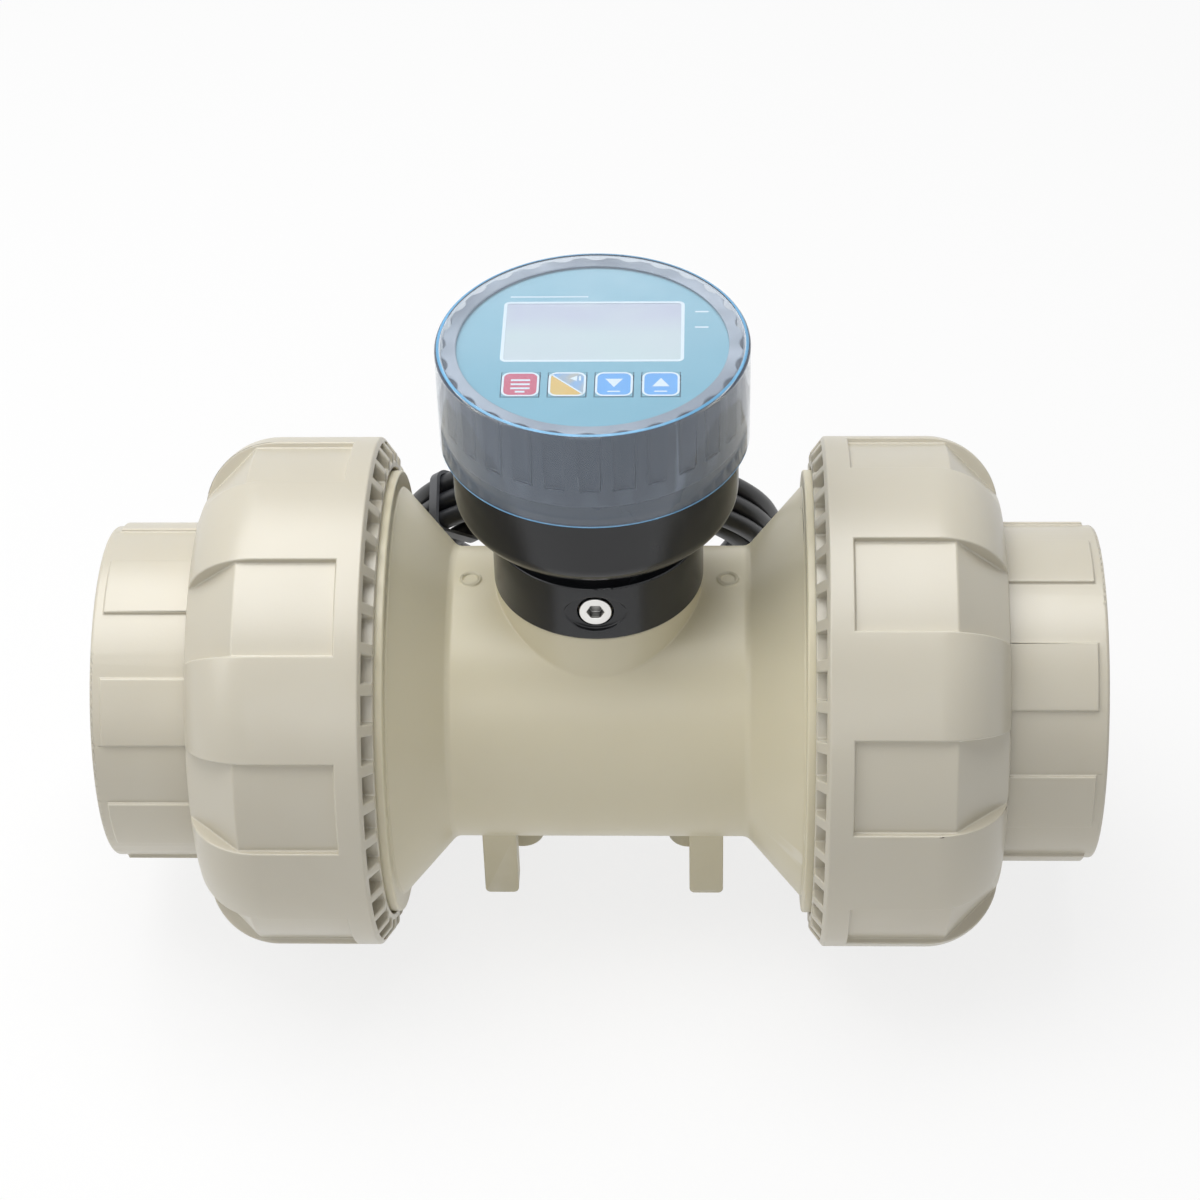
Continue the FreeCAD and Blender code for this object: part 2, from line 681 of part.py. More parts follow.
def make_union_nut(label, facing, turn):
    """Turn one union nut, sink its eight recesses and cut the pockets between its ribs."""
    body = new_body(label)
    turned(body, "Shell", "XY_Plane", "H_Axis", [
        (D["nut_start"], D["mouth_radius"]),
        (D["nut_start"] + D["mouth_depth"], D["mouth_radius"]),
        (D["nut_start"] + D["mouth_depth"], D["nut_bore"]),
        (D["lip_start"], D["nut_bore"]),
        (D["lip_start"], D["lip_radius"]),
        (D["nut_end"], D["lip_radius"]),
        (D["nut_end"], D["nut_radius"], D["shoulder_radius"]),
        (D["nut_rim"], D["nut_radius"], D["edge_plain"]),
        (D["nut_start"], D["chamfer_foot"], D["edge_soft"]),
    ])
    floor = D["nut_radius"] - D["recess_depth"]
    chamfer_run = D["nut_end"] - D["recess_bend"]
    outside = D["nut_radius"] + 1
    recess = turned(body, "Recess", "XY_Plane", "H_Axis", [
        (D["recess_start"], floor), (D["recess_bend"], floor),
        (D["nut_end"], floor - chamfer_run), (D["nut_end"] + 1, floor - chamfer_run),
        (D["nut_end"] + 1, outside), (D["recess_start"], outside),
    ], cut=True, angle=D["recess_angle"])
    ringed(body, "Recesses", recess, recess.Profile[0], "H_Axis", D["panel_count"])
    pocket = turned(body, "RibPocket", "XY_Plane", "H_Axis", [
        (D["nut_start"] - 1, D["pocket_inner"]),
        (D["nut_start"] + D["pocket_depth"], D["pocket_inner"]),
        (D["nut_start"] + D["pocket_depth"], D["pocket_outer"]),
        (D["nut_start"] - 1, D["pocket_outer"]),
    ], cut=True, angle=D["pocket_angle"], spin=as_size(180) / D["rib_count"])
    ringed(body, "RibPockets", pocket, pocket.Profile[0], "H_Axis", D["rib_count"])
    body.Placement.Rotation = Rotation(X_AXIS, turn.value) * facing
    return body


def make_unions():
    """Both sides of the pipe: the left one is the right one turned about."""
    sides = (("right", Rotation(), 1), ("left", Rotation(Z_AXIS, 180), -1))
    for side, facing, sign in sides:
        make_union_end(f"union_end_{side}", facing, D[f"pad_turn_{side}"])
        make_union_nut(f"union_nut_{side}", facing, D[f"nut_turn_{side}"])
        x = (D["body_end"] - D["seal_thickness"] / 2) * sign
        keep(torus(f"FaceSeal{side}", D["seal_radius"], D["seal_thickness"] - 0.1, X_AXIS, x=x),
             f"o_ring_{side}")


# ---------------------------------------------------------------------------------------------
# Neck: collar, locking screw, probe, electrodes and field coil
# ---------------------------------------------------------------------------------------------

def make_collar():
    """Turn the black collar and sink the eye-shaped pocket and the screw's hole."""
    body = new_body("neck_collar")
    turned(body, "Sleeve", "XZ_Plane", "V_Axis", [
        (D["neck_bore"], D["neck_bottom"]), (D["neck_radius"], D["neck_bottom"]),
        (D["neck_radius"], D["neck_top"], D["edge_soft"]), (D["neck_bore"], D["neck_top"]),
    ])
    front = D["neck_radius"] - D["pocket_flat"]
    sketch = new_sketch(body, "XZ_Plane", "EyeOutline", offset=front)
    eye(sketch)
    sunk(body, "Eye", sketch, D["pocket_flat"] + 1, flip=True)
    sketch = new_sketch(body, "XZ_Plane", "ScrewCircle")
    circle(sketch, NOUGHT, D["screw_height"], D["head_radius"] + D["head_gap"])
    sunk(body, "ScrewHole", sketch, D["neck_radius"] + 1, flip=True)


def eye(sketch):
    """Draw the eye-shaped outline: two arcs that meet in two tips."""
    half, rise, level = D["eye_half"], D["eye_rise"], D["screw_height"]
    radius = (half * half + rise * rise) / (rise * 2)
    left = Vector(-half.value, level.value, 0)
    right = Vector(half.value, level.value, 0)
    up = Vector(0, level.value + rise.value, 0)
    down = Vector(0, level.value - rise.value, 0)
    upper = sketch.addGeometry(Part.Arc(right, up, left), False)
    lower = sketch.addGeometry(Part.Arc(left, down, right), False)
    hold(sketch, "Coincident", upper, 2, lower, 1)
    hold(sketch, "Coincident", lower, 2, upper, 1)
    hold_point(sketch, upper, 1, half, level)
    hold_point(sketch, upper, 2, -half, level)
    hold(sketch, "Radius", upper, radius)
    hold(sketch, "Radius", lower, radius)


def make_lock_screw():
    """M5 socket-head screw that locks the head to the neck."""
    seat = -screw_seat()
    head = rod("ScrewHeadBlank", D["head_radius"], D["head_length"], -Y_AXIS,
               y=seat, z=D["screw_height"])
    shank = rod("ScrewShank", D["shank_radius"], D["shank_length"] + 0.5, Y_AXIS,
                y=seat - 0.5, z=D["screw_height"])
    socket = hexagon("ScrewHex", D["hex_flats"], D["hex_depth"] + 1, Y_AXIS,
                     y=seat - D["head_length"] - 1, z=D["screw_height"])
    keep(less("LockScrew", joined("LockScrewBlank", [head, shank]), socket), "lock_screw")


def make_probe():
    """Turn the probe: a closed tube with a flange and two seal grooves, plus its seals."""
    body = new_body("probe_body")
    inner = D["probe_radius"] - D["probe_wall"]
    top = D["spigot_top"] + D["probe_flange"]
    groove = D["probe_radius"] - D["probe_seal"] + 0.1
    half = D["probe_seal"] / 2 + 0.15
    grooves = []
    for level in (D["seal_low"], D["seal_high"]):
        grooves += [(D["probe_radius"], level - half), (groove, level - half),
                    (groove, level + half), (D["probe_radius"], level + half)]
    turned(body, "ProbeTube", "XZ_Plane", "V_Axis", [
        (NOUGHT, D["probe_tip"]), (D["probe_radius"], D["probe_tip"], D["edge_round"]),
        *grooves,
        (D["probe_radius"], D["spigot_top"] + 0.05),
        (D["probe_rim"], D["spigot_top"] + 0.05), (D["probe_rim"], top), (inner, top),
        (inner, D["probe_tip"] + D["probe_wall"]), (NOUGHT, D["probe_tip"] + D["probe_wall"]),
    ])
    sketch = new_sketch(body, "XY_Plane", "ElectrodeHoles", offset=D["probe_tip"])
    for x, y in electrode_places():
        circle(sketch, x, y, D["electrode_radius"] / 2 + 0.05)
    sunk(body, "ElectrodeBores", sketch, D["probe_wall"] + 1, flip=True)
    seals = []
    for level in (D["seal_low"], D["seal_high"]):
        centre = D["probe_radius"] + 0.12 - D["probe_seal"] / 2
        seals.append(torus("ProbeSeal", centre, D["probe_seal"], z=level))
    keep(joined("ProbeSeals", seals), "probe_o_rings")


def electrode_places():
    """Return the places of the two measuring electrodes and the ground electrode."""
    return [(NOUGHT, -D["electrode_pitch"]), (NOUGHT, D["electrode_pitch"]),
            (D["electrode_pitch"], NOUGHT)]


def make_electrodes():
    """Steel electrodes: a button under the probe's tip and a stem through its wall."""
    labels = ("electrode_front", "electrode_rear", "ground_electrode")
    for label, (x, y) in zip(labels, electrode_places()):
        button = rod("Button", D["electrode_radius"], D["electrode_cap"],
                     x=x, y=y, z=D["probe_tip"] - 0.8)
        stem = rod("Stem", D["electrode_radius"] / 2, D["probe_wall"] + 2.3,
                   x=x, y=y, z=D["probe_tip"] - 0.1)
        keep(joined("Electrode", [button, stem]), label)


def make_field_coil():
    """Iron core, bobbin and winding of the field coil inside the probe."""
    bottom, height = D["coil_bottom"], D["coil_height"]
    floor = D["probe_tip"] + D["probe_wall"] + 0.05
    keep(rod("Core", D["core_radius"], height + 4, z=floor), "magnet_core")
    body = new_body("coil_bobbin")
    hub = D["core_radius"] + 0.1
    waist = D["core_radius"] + 1.3
    turned(body, "Bobbin", "XZ_Plane", "V_Axis", [
        (hub, floor), (waist, floor), (waist, bottom),
        (D["coil_radius"], bottom), (D["coil_radius"], bottom + 1),
        (waist, bottom + 1), (waist, bottom + height - 1),
        (D["coil_radius"], bottom + height - 1), (D["coil_radius"], bottom + height),
        (hub, bottom + height),
    ])
    body = new_body("field_coil")
    turned(body, "Winding", "XZ_Plane", "V_Axis", [
        (waist + 0.05, bottom + 1.05), (D["coil_radius"] - 0.5, bottom + 1.05),
        (D["coil_radius"] - 0.5, bottom + height - 1.05),
        (waist + 0.05, bottom + height - 1.05),
    ])
    top = floor + height + 4
    keep(rod("Harness", D["harness_radius"], D["main_board"] - top, z=top), "sensor_harness")


# ---------------------------------------------------------------------------------------------
# Head: housing, bezel ring, dust cap, display insert and electronics
# ---------------------------------------------------------------------------------------------

def make_housing():
    """Turn the head housing and add the flat seat and hole of the cable gland."""
    body = new_body("head_housing")
    inner = D["bowl_radius"] - D["bowl_wall"]
    groove_in = (D["rim_bore"] + D["rim_radius"]) / 2 - D["head_seal"] / 2 - 0.05
    groove_out = groove_in + D["head_seal"] + 0.1
    groove_floor = D["rim_top"] - D["head_seal"] + 0.2
    turned(body, "Bowl", "XZ_Plane", "V_Axis", [
        (D["wire_hole"], D["neck_top"] - 2.2), (D["spigot_radius"], D["neck_top"] - 2.2),
        (D["spigot_radius"], underside(D["spigot_radius"])),
        *underside_points(),
        (D["bowl_radius"], D["bowl_top"], D["edge_soft"]),
        (D["rim_radius"], D["bowl_top"]), (D["rim_radius"], D["rim_top"], D["edge_light"]),
        (groove_out, D["rim_top"]), (groove_out, groove_floor),
        (groove_in, groove_floor), (groove_in, D["rim_top"]),
        (D["rim_bore"], D["rim_top"]), (D["rim_bore"], D["bowl_top"] - 1),
        (inner, D["bowl_top"] - 3), (inner, D["bowl_floor"] + 5),
        (D["floor_radius"], D["bowl_floor"]), (D["wire_hole"], D["bowl_floor"]),
    ])
    sketch = new_sketch(body, "XZ_Plane", "GlandSeatCircle", offset=-D["gland_seat"])
    circle(sketch, NOUGHT, D["gland_height"], D["gland_boss"])
    raised(body, "GlandSeat", sketch, D["gland_seat"] - inner - 0.5)
    sketch = new_sketch(body, "XZ_Plane", "GlandHoleCircle")
    circle(sketch, NOUGHT, D["gland_height"], D["gland_thread"] + 0.1)
    sunk(body, "GlandHole", sketch, D["gland_seat"] + 1)
    keep(torus("HeadSeal", (D["rim_bore"] + D["rim_radius"]) / 2, D["head_seal"],
               z=groove_floor + D["head_seal"] / 2), "head_seal")


def underside(radius):
    """Return the height of the rounded underside of the housing at a radius."""
    share = (radius.value - D["bowl_centre"].value) / (D["bowl_radius"].value
                                                        - D["bowl_centre"].value)
    drop = math.sqrt(1 - share * share)
    return D["bowl_bottom"] + D["bowl_round"] * (1 - drop)


def underside_points():
    """Return the corners that follow the elliptic underside from the neck to the side wall."""
    steps = 9
    reach = D["bowl_radius"] - D["bowl_centre"]
    first = math.acos((D["spigot_radius"].value - D["bowl_centre"].value) / reach.value)
    points = []
    for step in range(1, steps + 1):
        angle = first * (1 - step / steps)
        points.append((D["bowl_centre"] + reach * math.cos(angle),
                       D["bowl_bottom"] + D["bowl_round"] * (1 - math.sin(angle))))
    return points


def make_bezel_ring():
    """Turn the bezel ring and cut its flutes."""
    body = new_body("bezel_ring")
    lip = D["ring_top"] - D["lip_thick"]
    turned(body, "Ring", "XZ_Plane", "V_Axis", [
        (D["ring_bore"], D["ring_bottom"]), (D["ring_radius"], D["ring_bottom"]),
        (D["ring_radius"], D["ring_top"], D["edge_soft"]), (D["ring_lip"], D["ring_top"]),
        (D["ring_lip"], lip), (D["ring_bore"], lip),
    ])
    sketch = new_sketch(body, "XY_Plane", "FluteCircle", offset=D["ring_band"])
    circle(sketch, D["ring_radius"] - D["flute_depth"] + D["flute_round"], NOUGHT,
           D["flute_round"])
    flute = sunk(body, "Flute", sketch, D["ring_top"] - D["ring_band"] + 1, flip=True)
    ringed(body, "Flutes", flute, sketch, "N_Axis", D["flute_count"])


def make_dust_cap():
    """Turn the clear cap that pushes over the bezel ring."""
    body = new_body("dust_cap")
    inner = D["cap_radius"] - D["cap_wall"]
    ceiling = D["cap_top"] - D["cap_roof"]
    turned(body, "Cap", "XZ_Plane", "V_Axis", [
        (NOUGHT, ceiling), (inner, ceiling, D["edge_soft"]), (inner, D["cap_bottom"]),
        (D["cap_radius"], D["cap_bottom"], D["edge_fine"]),
        (D["cap_radius"], D["cap_top"], D["edge_cap"]), (NOUGHT, D["cap_top"]),
    ])


def window_and_keys(sketch, slack, ledge):
    """Draw the openings for the display window, less a ledge, and for the four keys."""
    half_x, half_y = D["window_x"] / 2 - ledge, D["window_y"] / 2 - ledge
    rectangle(sketch, -half_x, D["window_centre"] - half_y, half_x, D["window_centre"] + half_y)
    reach_x, reach_y = D["key_x"] / 2 + slack, D["key_y"] / 2 + slack
    for x in key_places():
        rectangle(sketch, x - reach_x, D["key_centre"] - reach_y,
                  x + reach_x, D["key_centre"] + reach_y)


def key_places():
    """Return the X place of each key, from left to right."""
    return [D["key_pitch"] * (number - 1.5) for number in range(4)]


def make_carrier():
    """Moulded cup that holds the display, with openings above and four posts below."""
    body = new_body("display_carrier")
    plate = D["carrier_top"] - D["carrier_wall"]
    inner = D["carrier_radius"] - D["carrier_wall"]
    turned(body, "Cup", "XZ_Plane", "V_Axis", [
        (NOUGHT, plate), (inner, plate), (inner, D["carrier_bottom"]),
        (D["carrier_radius"], D["carrier_bottom"]), (D["carrier_radius"], D["carrier_top"]),
        (NOUGHT, D["carrier_top"]),
    ])
    sketch = new_sketch(body, "XY_Plane", "Openings", offset=plate)
    window_and_keys(sketch, D["key_gap"], ledge=1.2)
    sunk(body, "CarrierOpenings", sketch, D["carrier_wall"] + 1, flip=True)
    bottom = D["display_board"] + D["board_thick"]
    sketch = new_sketch(body, "XY_Plane", "PostCircles", offset=bottom)
    for x, y in post_places():
        circle(sketch, x, y, D["post_radius"])
        circle(sketch, x, y, D["post_hole"])
    raised(body, "Posts", sketch, plate - bottom + 0.2)


def post_places():
    """Return the places of the carrier's four posts."""
    reach = D["post_pitch"]
    return [(reach, NOUGHT), (-reach, NOUGHT), (NOUGHT, reach), (NOUGHT, -reach)]


def make_face_panel():
    """Printed face panel with its openings, and the clear window that fills the largest."""
    body = new_body("face_panel")
    sketch = new_sketch(body, "XY_Plane", "PanelOutline", offset=D["carrier_top"] + 0.02)
    circle(sketch, NOUGHT, NOUGHT, D["carrier_radius"])
    window_and_keys(sketch, D["key_gap"], ledge=0)
    raised(body, "Panel", sketch, D["panel_thick"])
    keep(block("WindowPane", D["window_x"] - 0.2, D["window_y"] - 0.2, D["panel_thick"] - 0.1,
               y=D["window_centre"], z=D["carrier_top"] + 0.05), "lcd_window")


def make_keys():
    """Four keys: a cap in the panel and a hidden rim that keeps it in."""
    labels = ("key_mode", "key_shift", "key_down", "key_up")
    rim_top = D["carrier_top"] - D["carrier_wall"] - 0.5
    cap_top = D["carrier_top"] + D["panel_thick"] + D["key_rise"] + 0.02
    for label, x in zip(labels, key_places()):
        cap = block("KeyCap", D["key_x"], D["key_y"], cap_top - rim_top + 0.5,
                    x=x, y=D["key_centre"], z=rim_top - 0.5)
        rim = block("KeyRim", D["key_x"] + D["key_flange"] * 2, D["key_y"] + D["key_flange"] * 2,
                    D["key_rim"], x=x, y=D["key_centre"], z=rim_top - 1)
        keep(joined("Key", [cap, rim]), label)


def make_electronics():
    """Display module, boards, switches, spacers, screws and terminal block."""
    under = D["carrier_top"] - D["carrier_wall"] - 0.05
    keep(block("Display", D["lcd_x"], D["lcd_y"], D["lcd_thick"], y=D["window_centre"],
               z=under - D["lcd_thick"]), "lcd_module")
    keep(rod("DisplayBoard", D["board_radius"], D["board_thick"], z=D["display_board"]),
         "display_board")
    top = D["display_board"] + D["board_thick"]
    switches = [block("Switch", D["switch_side"], D["switch_side"], D["switch_height"],
                      x=x, y=D["key_centre"], z=top) for x in key_places()]
    keep(joined("Switches", switches), "key_switches")
    screws = []
    for x, y in post_places():
        screws.append(rod("ScrewCap", D["board_screw_radius"], D["board_screw_head"], x=x, y=y,
                          z=D["display_board"] - 1.4))
    keep(joined("BoardScrews", screws), "board_screws")
    keep(rod("MainBoard", D["main_radius"], D["board_thick"], z=D["main_board"]), "main_board")
    spacers = []
    diagonal = D["spacer_pitch"] * math.sqrt(0.5)
    for side_x in (1, -1):
        for side_y in (1, -1):
            spacers.append(rod("Spacer", D["spacer_radius"], D["main_board"] - D["bowl_floor"],
                               x=diagonal * side_x, y=diagonal * side_y, z=D["bowl_floor"]))
    keep(joined("Spacers", spacers), "board_spacers")
    height = as_size(11)
    keep(block("Terminals", as_size(18), D["terminal_back"] - D["terminal_front"], height,
               y=(D["terminal_back"] + D["terminal_front"]) / 2, z=D["main_board"] - height),
         "terminal_block")


# ---------------------------------------------------------------------------------------------
# Cable gland and cable
# ---------------------------------------------------------------------------------------------

def make_gland():
    """Cable gland: body through the wall, locknut inside, seal and nut outside."""
    z = D["gland_height"]
    seat = D["gland_seat"]
    hole = D["cable_radius"] + D["cable_gap"]
    body_hex = hexagon("GlandHex", D["gland_flats"], D["gland_hex"], Y_AXIS, y=seat, z=z)
    inside = rod("GlandInside", D["gland_thread"], D["gland_inside"] + 1, Y_AXIS,
                 y=seat - D["gland_inside"], z=z)
    outside = rod("GlandOutside", D["gland_thread"], D["gland_outside"] + 1, Y_AXIS,
                  y=seat + D["gland_hex"] - 1, z=z)
    bore = rod("GlandBore", hole + 0.8, as_size(40), Y_AXIS, y=seat - 12, z=z)
    keep(less("GlandBody", joined("GlandBlank", [body_hex, inside, outside]), bore),
         "gland_body")
    nut_face = D["bowl_radius"] - D["bowl_wall"] - 4.3
    locknut = hexagon("LocknutHex", D["gland_flats"], D["locknut_thick"], Y_AXIS, y=nut_face, z=z)
    thread = rod("LocknutBore", D["gland_thread"] + 0.1, as_size(6), Y_AXIS,
                 y=nut_face - 1, z=z)
    keep(less("Locknut", locknut, thread), "gland_locknut")
    make_gland_nut(seat, hole)


def make_gland_nut(seat, hole):
    """Domed gland nut over the outer thread, and the rubber seal that grips the cable."""
    start = seat + D["gland_hex"] + 0.3
    end = start + D["gland_nut_length"]
    cavity = start + D["gland_outside"] + 0.6
    body = keep(doc.addObject("PartDesign::Body", "gland_nut"), "gland_nut")
    bind(body, "Placement.Base.z", D["axis_height"] + D["gland_height"])
    turned(body, "Dome", "XY_Plane", "V_Axis", [
        (D["gland_thread"] + 0.1, start), (D["gland_nut_radius"], start),
        (D["gland_nut_radius"], end, D["gland_dome"]), (hole, end), (hole, cavity),
        (D["gland_thread"] + 0.1, cavity),
    ])
    sketch = new_sketch(body, "XZ_Plane", "FlatCircle", offset=-(end + 1))
    side = D["gland_nut_radius"] * 0.93
    circle(sketch, D["gland_nut_radius"] + side, NOUGHT, D["gland_nut_radius"])
    flat = sunk(body, "Grip", sketch, D["gland_nut_length"] - 2, flip=True)
    ringed(body, "Grips", flat, sketch, "N_Axis", as_size(6))
    blank = rod("SealBlank", D["gland_thread"] - 0.3, as_size(0.5), Y_AXIS,
                y=cavity - 0.52, z=D["gland_height"])
    bore = rod("SealBore", hole, as_size(4), Y_AXIS, y=cavity - 2, z=D["gland_height"])
    keep(less("GlandSeal", blank, bore), "gland_seal")


def cable_exit():
    """Return the point where the cable leaves the gland nut."""
    y = D["gland_seat"] + D["gland_hex"] + 0.3 + D["gland_nut_length"]
    return Vector(0, y.value, (D["axis_height"] + D["gland_height"]).value)


def make_inner_cable():
    """Straight end of the cable inside the gland, and its four cores at the terminal block."""
    start, end = D["cable_inside"], as_size(cable_exit().y)
    keep(rod("CableInside", D["cable_radius"], end - start, Y_AXIS, y=start,
             z=D["gland_height"]), "cable_inner")
    cores = []
    for number in range(4):
        cores.append(rod("SupplyCore", D["core_thick"], start - D["terminal_back"], Y_AXIS,
                         x=as_size(1.2) * (number - 1.5), y=D["terminal_back"],
                         z=D["gland_height"]))
    keep(joined("SupplyCores", cores), "supply_cores")


def coil_frame():
    """Return the coil's centre, its upward direction in its own plane, and its normal."""
    lean = math.radians(D["coil_lean"].value)
    soft = D["cable_radius"].value * 0.8
    rise = ((D["coil_outer"].value - soft) * math.cos(lean)
            + (D["coil_wide"].value / 2 - soft) * math.sin(lean) + soft)
    centre = Vector(D["coil_side"].value, D["coil_back"].value, rise)
    up = Vector(0, -math.sin(lean), math.cos(lean))
    return centre, up, Vector(0, math.cos(lean), math.sin(lean))


def coil_point(angle, radius, depth):
    """Return a point of the coil: angle from +X, radius, and depth away from the meter."""
    centre, up, normal = coil_frame()
    turn = math.radians(angle)
    return (centre + X_AXIS * (radius * math.cos(turn)) + up * (radius * math.sin(turn))
            + normal * depth)


def cable_tube(label, points):
    """Sweep the cable along straight runs joined by tangent arcs, and check its volume."""
    radius = D["cable_radius"].value
    edges = []
    bends = []
    start = points[0]
    for before, corner, after in zip(points, points[1:], points[2:]):
        back, ahead = before - corner, after - corner
        half = back.getAngle(ahead) / 2
        bend = 0.45 * min(back.Length, ahead.Length) * math.tan(half)
        first, middle, last = rounding(before, corner, after, bend)
        edges.append(Part.LineSegment(start, first).toShape())
        edges.append(Part.Arc(first, middle, last).toShape())
        bends.append(round(bend, 1))
        start = last
    edges.append(Part.LineSegment(start, points[-1]).toShape())
    path = Part.Wire(edges)
    ring = Part.Wire([Part.Circle(points[0], points[1] - points[0], radius).toShape()])
    shape = path.makePipeShell([ring], True, False)
    share = shape.Volume / (math.pi * radius ** 2 * path.Length)
    print(f"{label}: {path.Length:.1f} mm long, bend radii {bends}, volume ratio {share:.4f}")
    if abs(share - 1) > 0.01:
        raise RuntimeError(f"{label}: the swept tube has the wrong volume")
    item = keep(doc.addObject("Part::Feature", label), label)
    item.Shape = shape


def make_cable():
    """Lead from the gland to the coil, the coil, its tail with bare cores, and the ties."""
    radius = D["cable_radius"].value
    strand = D["coil_outer"].value - radius
    lead = [cable_exit()] + [Vector(*point) for point in LEAD_ROUTE]
    lead.append(coil_point(LEAD_JOINS_AT, strand, 2 * radius))
    cable_tube("cable_lead", lead)
    tail = [coil_point(TAIL_LEAVES_AT, strand, 0)] + [Vector(*point) for point in TAIL_ROUTE]
    cable_tube("cable_tail", tail)
    make_coil()
    make_ties()
    make_cores(tail[-1], (tail[-1] - tail[-2]).normalize())


def make_coil():
    """Closed ring with the outer shape of the cable coil."""
    centre, _, normal = coil_frame()
    outer, deep = D["coil_outer"], D["coil_deep"]
    body = keep(doc.addObject("PartDesign::Body", "cable_coil"), "cable_coil")
    half = D["coil_wide"] / 2
    soft = D["cable_radius"] * 0.8
    turned(body, "CoilRing", "XZ_Plane", "V_Axis", [
        (outer - deep, -half, soft), (outer, -half, soft), (outer, half, soft),
        (outer - deep, half, soft),
    ])
    body.Placement = Placement(centre, Rotation(Z_AXIS, normal))


def make_ties():
    """Two straps round the coil, each a rectangular loop that lies across the strands."""
    normal = coil_frame()[2]
    middle = D["coil_outer"] - D["coil_deep"] / 2
    loops = []
    for angle in TIE_ANGLES:
        place = coil_point(angle, middle.value, 0)
        outward = (coil_point(angle, middle.value + 1, 0) - place).normalize()
        facing = Rotation(outward, normal.cross(outward), normal, "ZXY")
        band = tie_block("TieBand", D["tie_thick"] + 0.1, D["tie_wide"], place, facing)
        hole = tie_block("TieHole", as_size(0.1), D["tie_wide"] + 2, place, facing)
        loops.append(less("Tie", band, hole))
    keep(joined("Ties", loops), "cable_ties")


def tie_block(label, grow, width, place, facing):
    """Make a box round the coil's section, larger by grow on each side, centred on place."""
    item = doc.addObject("Part::Box", label)
    bind(item, "Length", D["coil_deep"] + grow * 2)
    bind(item, "Width", width)
    bind(item, "Height", D["coil_wide"] + grow * 2)
    corner = Vector(item.Length.Value, item.Width.Value, item.Height.Value) * -0.5
    item.Placement = Placement(place, facing) * Placement(corner, Rotation())
    return item


def make_cores(end, direction):
    """Four stripped cores that fan out of the cable's end."""
    cores = []
    side = direction.cross(Z_AXIS).normalize()
    for number in range(4):
        offset = number - 1.5
        core = doc.addObject("Part::Cylinder", "Core")
        bind(core, "Radius", D["core_thick"])
        core.Height = 24 - 2 * abs(offset)
        aim = (direction + side * (offset * 0.09)).normalize()
        core.Placement = Placement(end + side * (offset * 1.25), Rotation(Z_AXIS, aim))
        cores.append(core)
    keep(joined("Cores", cores), "wire_ends")


# ---------------------------------------------------------------------------------------------
# Build, check and write
# ---------------------------------------------------------------------------------------------

def check_document():
    """Stop if any object failed or any sub-part is empty or invalid."""
    for item in doc.Objects:
        if "Invalid" in item.State or "Error" in item.State:
            raise RuntimeError(f"{item.Name} ({item.Label}) failed: {item.State}")
    for item in PARTS:
        if item.Shape.isNull() or not item.Shape.isValid() or not item.Shape.Solids:
            raise RuntimeError(f"{item.Label} has no valid solid")


def write_parts():
    """Write one STEP file for each sub-part."""
    os.makedirs("parts", exist_ok=True)
    for item in PARTS:
        item.Shape.exportStep(os.path.join("parts", f"{item.Label}.step"))
        print(f"{item.Label}: {len(item.Shape.Solids)} solid, {item.Shape.Volume / 1000:.2f} cm3")


def main():
    """Build every sub-assembly, check the document and write the parts."""
    make_meter_body()
    make_inserts()
    make_unions()
    make_collar()
    make_lock_screw()
    make_probe()
    make_electrodes()
    make_field_coil()
    make_housing()
    make_bezel_ring()
    make_dust_cap()
    make_carrier()
    make_face_panel()
    make_keys()
    make_electronics()
    make_gland()
    make_inner_cable()
    make_cable()
    doc.recompute()
    check_document()
    write_parts()


main()
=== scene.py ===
"""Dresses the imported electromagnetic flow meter: finishes, fine edges, threads, print and cable.

Sizes are in millimetres in the part's own frame, where the pipe axis lies 70 mm above the floor.
Every mesh is brought to metres when it becomes a piece.
"""

import json
import logging
import math
from dataclasses import dataclass
from enum import Enum
from typing import Iterable, Sequence

import bmesh
import bpy
from mathutils import Matrix, Vector
from mathutils.bvhtree import BVHTree
from mathutils.kdtree import KDTree

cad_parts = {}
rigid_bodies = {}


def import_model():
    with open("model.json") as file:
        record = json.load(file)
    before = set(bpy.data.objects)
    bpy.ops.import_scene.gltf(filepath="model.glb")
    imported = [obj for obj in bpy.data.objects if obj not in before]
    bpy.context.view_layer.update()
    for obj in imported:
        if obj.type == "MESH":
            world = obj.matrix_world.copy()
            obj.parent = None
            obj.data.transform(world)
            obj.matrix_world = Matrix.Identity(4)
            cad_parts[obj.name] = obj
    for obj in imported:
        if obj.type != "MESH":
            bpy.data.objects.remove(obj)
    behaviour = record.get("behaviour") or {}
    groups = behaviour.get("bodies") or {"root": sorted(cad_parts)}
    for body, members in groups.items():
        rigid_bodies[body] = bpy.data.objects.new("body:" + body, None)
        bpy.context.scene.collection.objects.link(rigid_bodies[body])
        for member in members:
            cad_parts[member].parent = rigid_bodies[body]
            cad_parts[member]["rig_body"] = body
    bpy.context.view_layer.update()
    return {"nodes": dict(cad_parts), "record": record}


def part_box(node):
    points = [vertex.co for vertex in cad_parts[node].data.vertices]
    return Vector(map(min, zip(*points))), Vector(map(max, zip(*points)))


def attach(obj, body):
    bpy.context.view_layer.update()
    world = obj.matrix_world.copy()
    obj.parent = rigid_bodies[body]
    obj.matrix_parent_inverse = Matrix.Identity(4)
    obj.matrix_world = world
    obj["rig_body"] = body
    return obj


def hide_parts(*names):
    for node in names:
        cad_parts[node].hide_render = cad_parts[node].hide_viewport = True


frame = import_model()

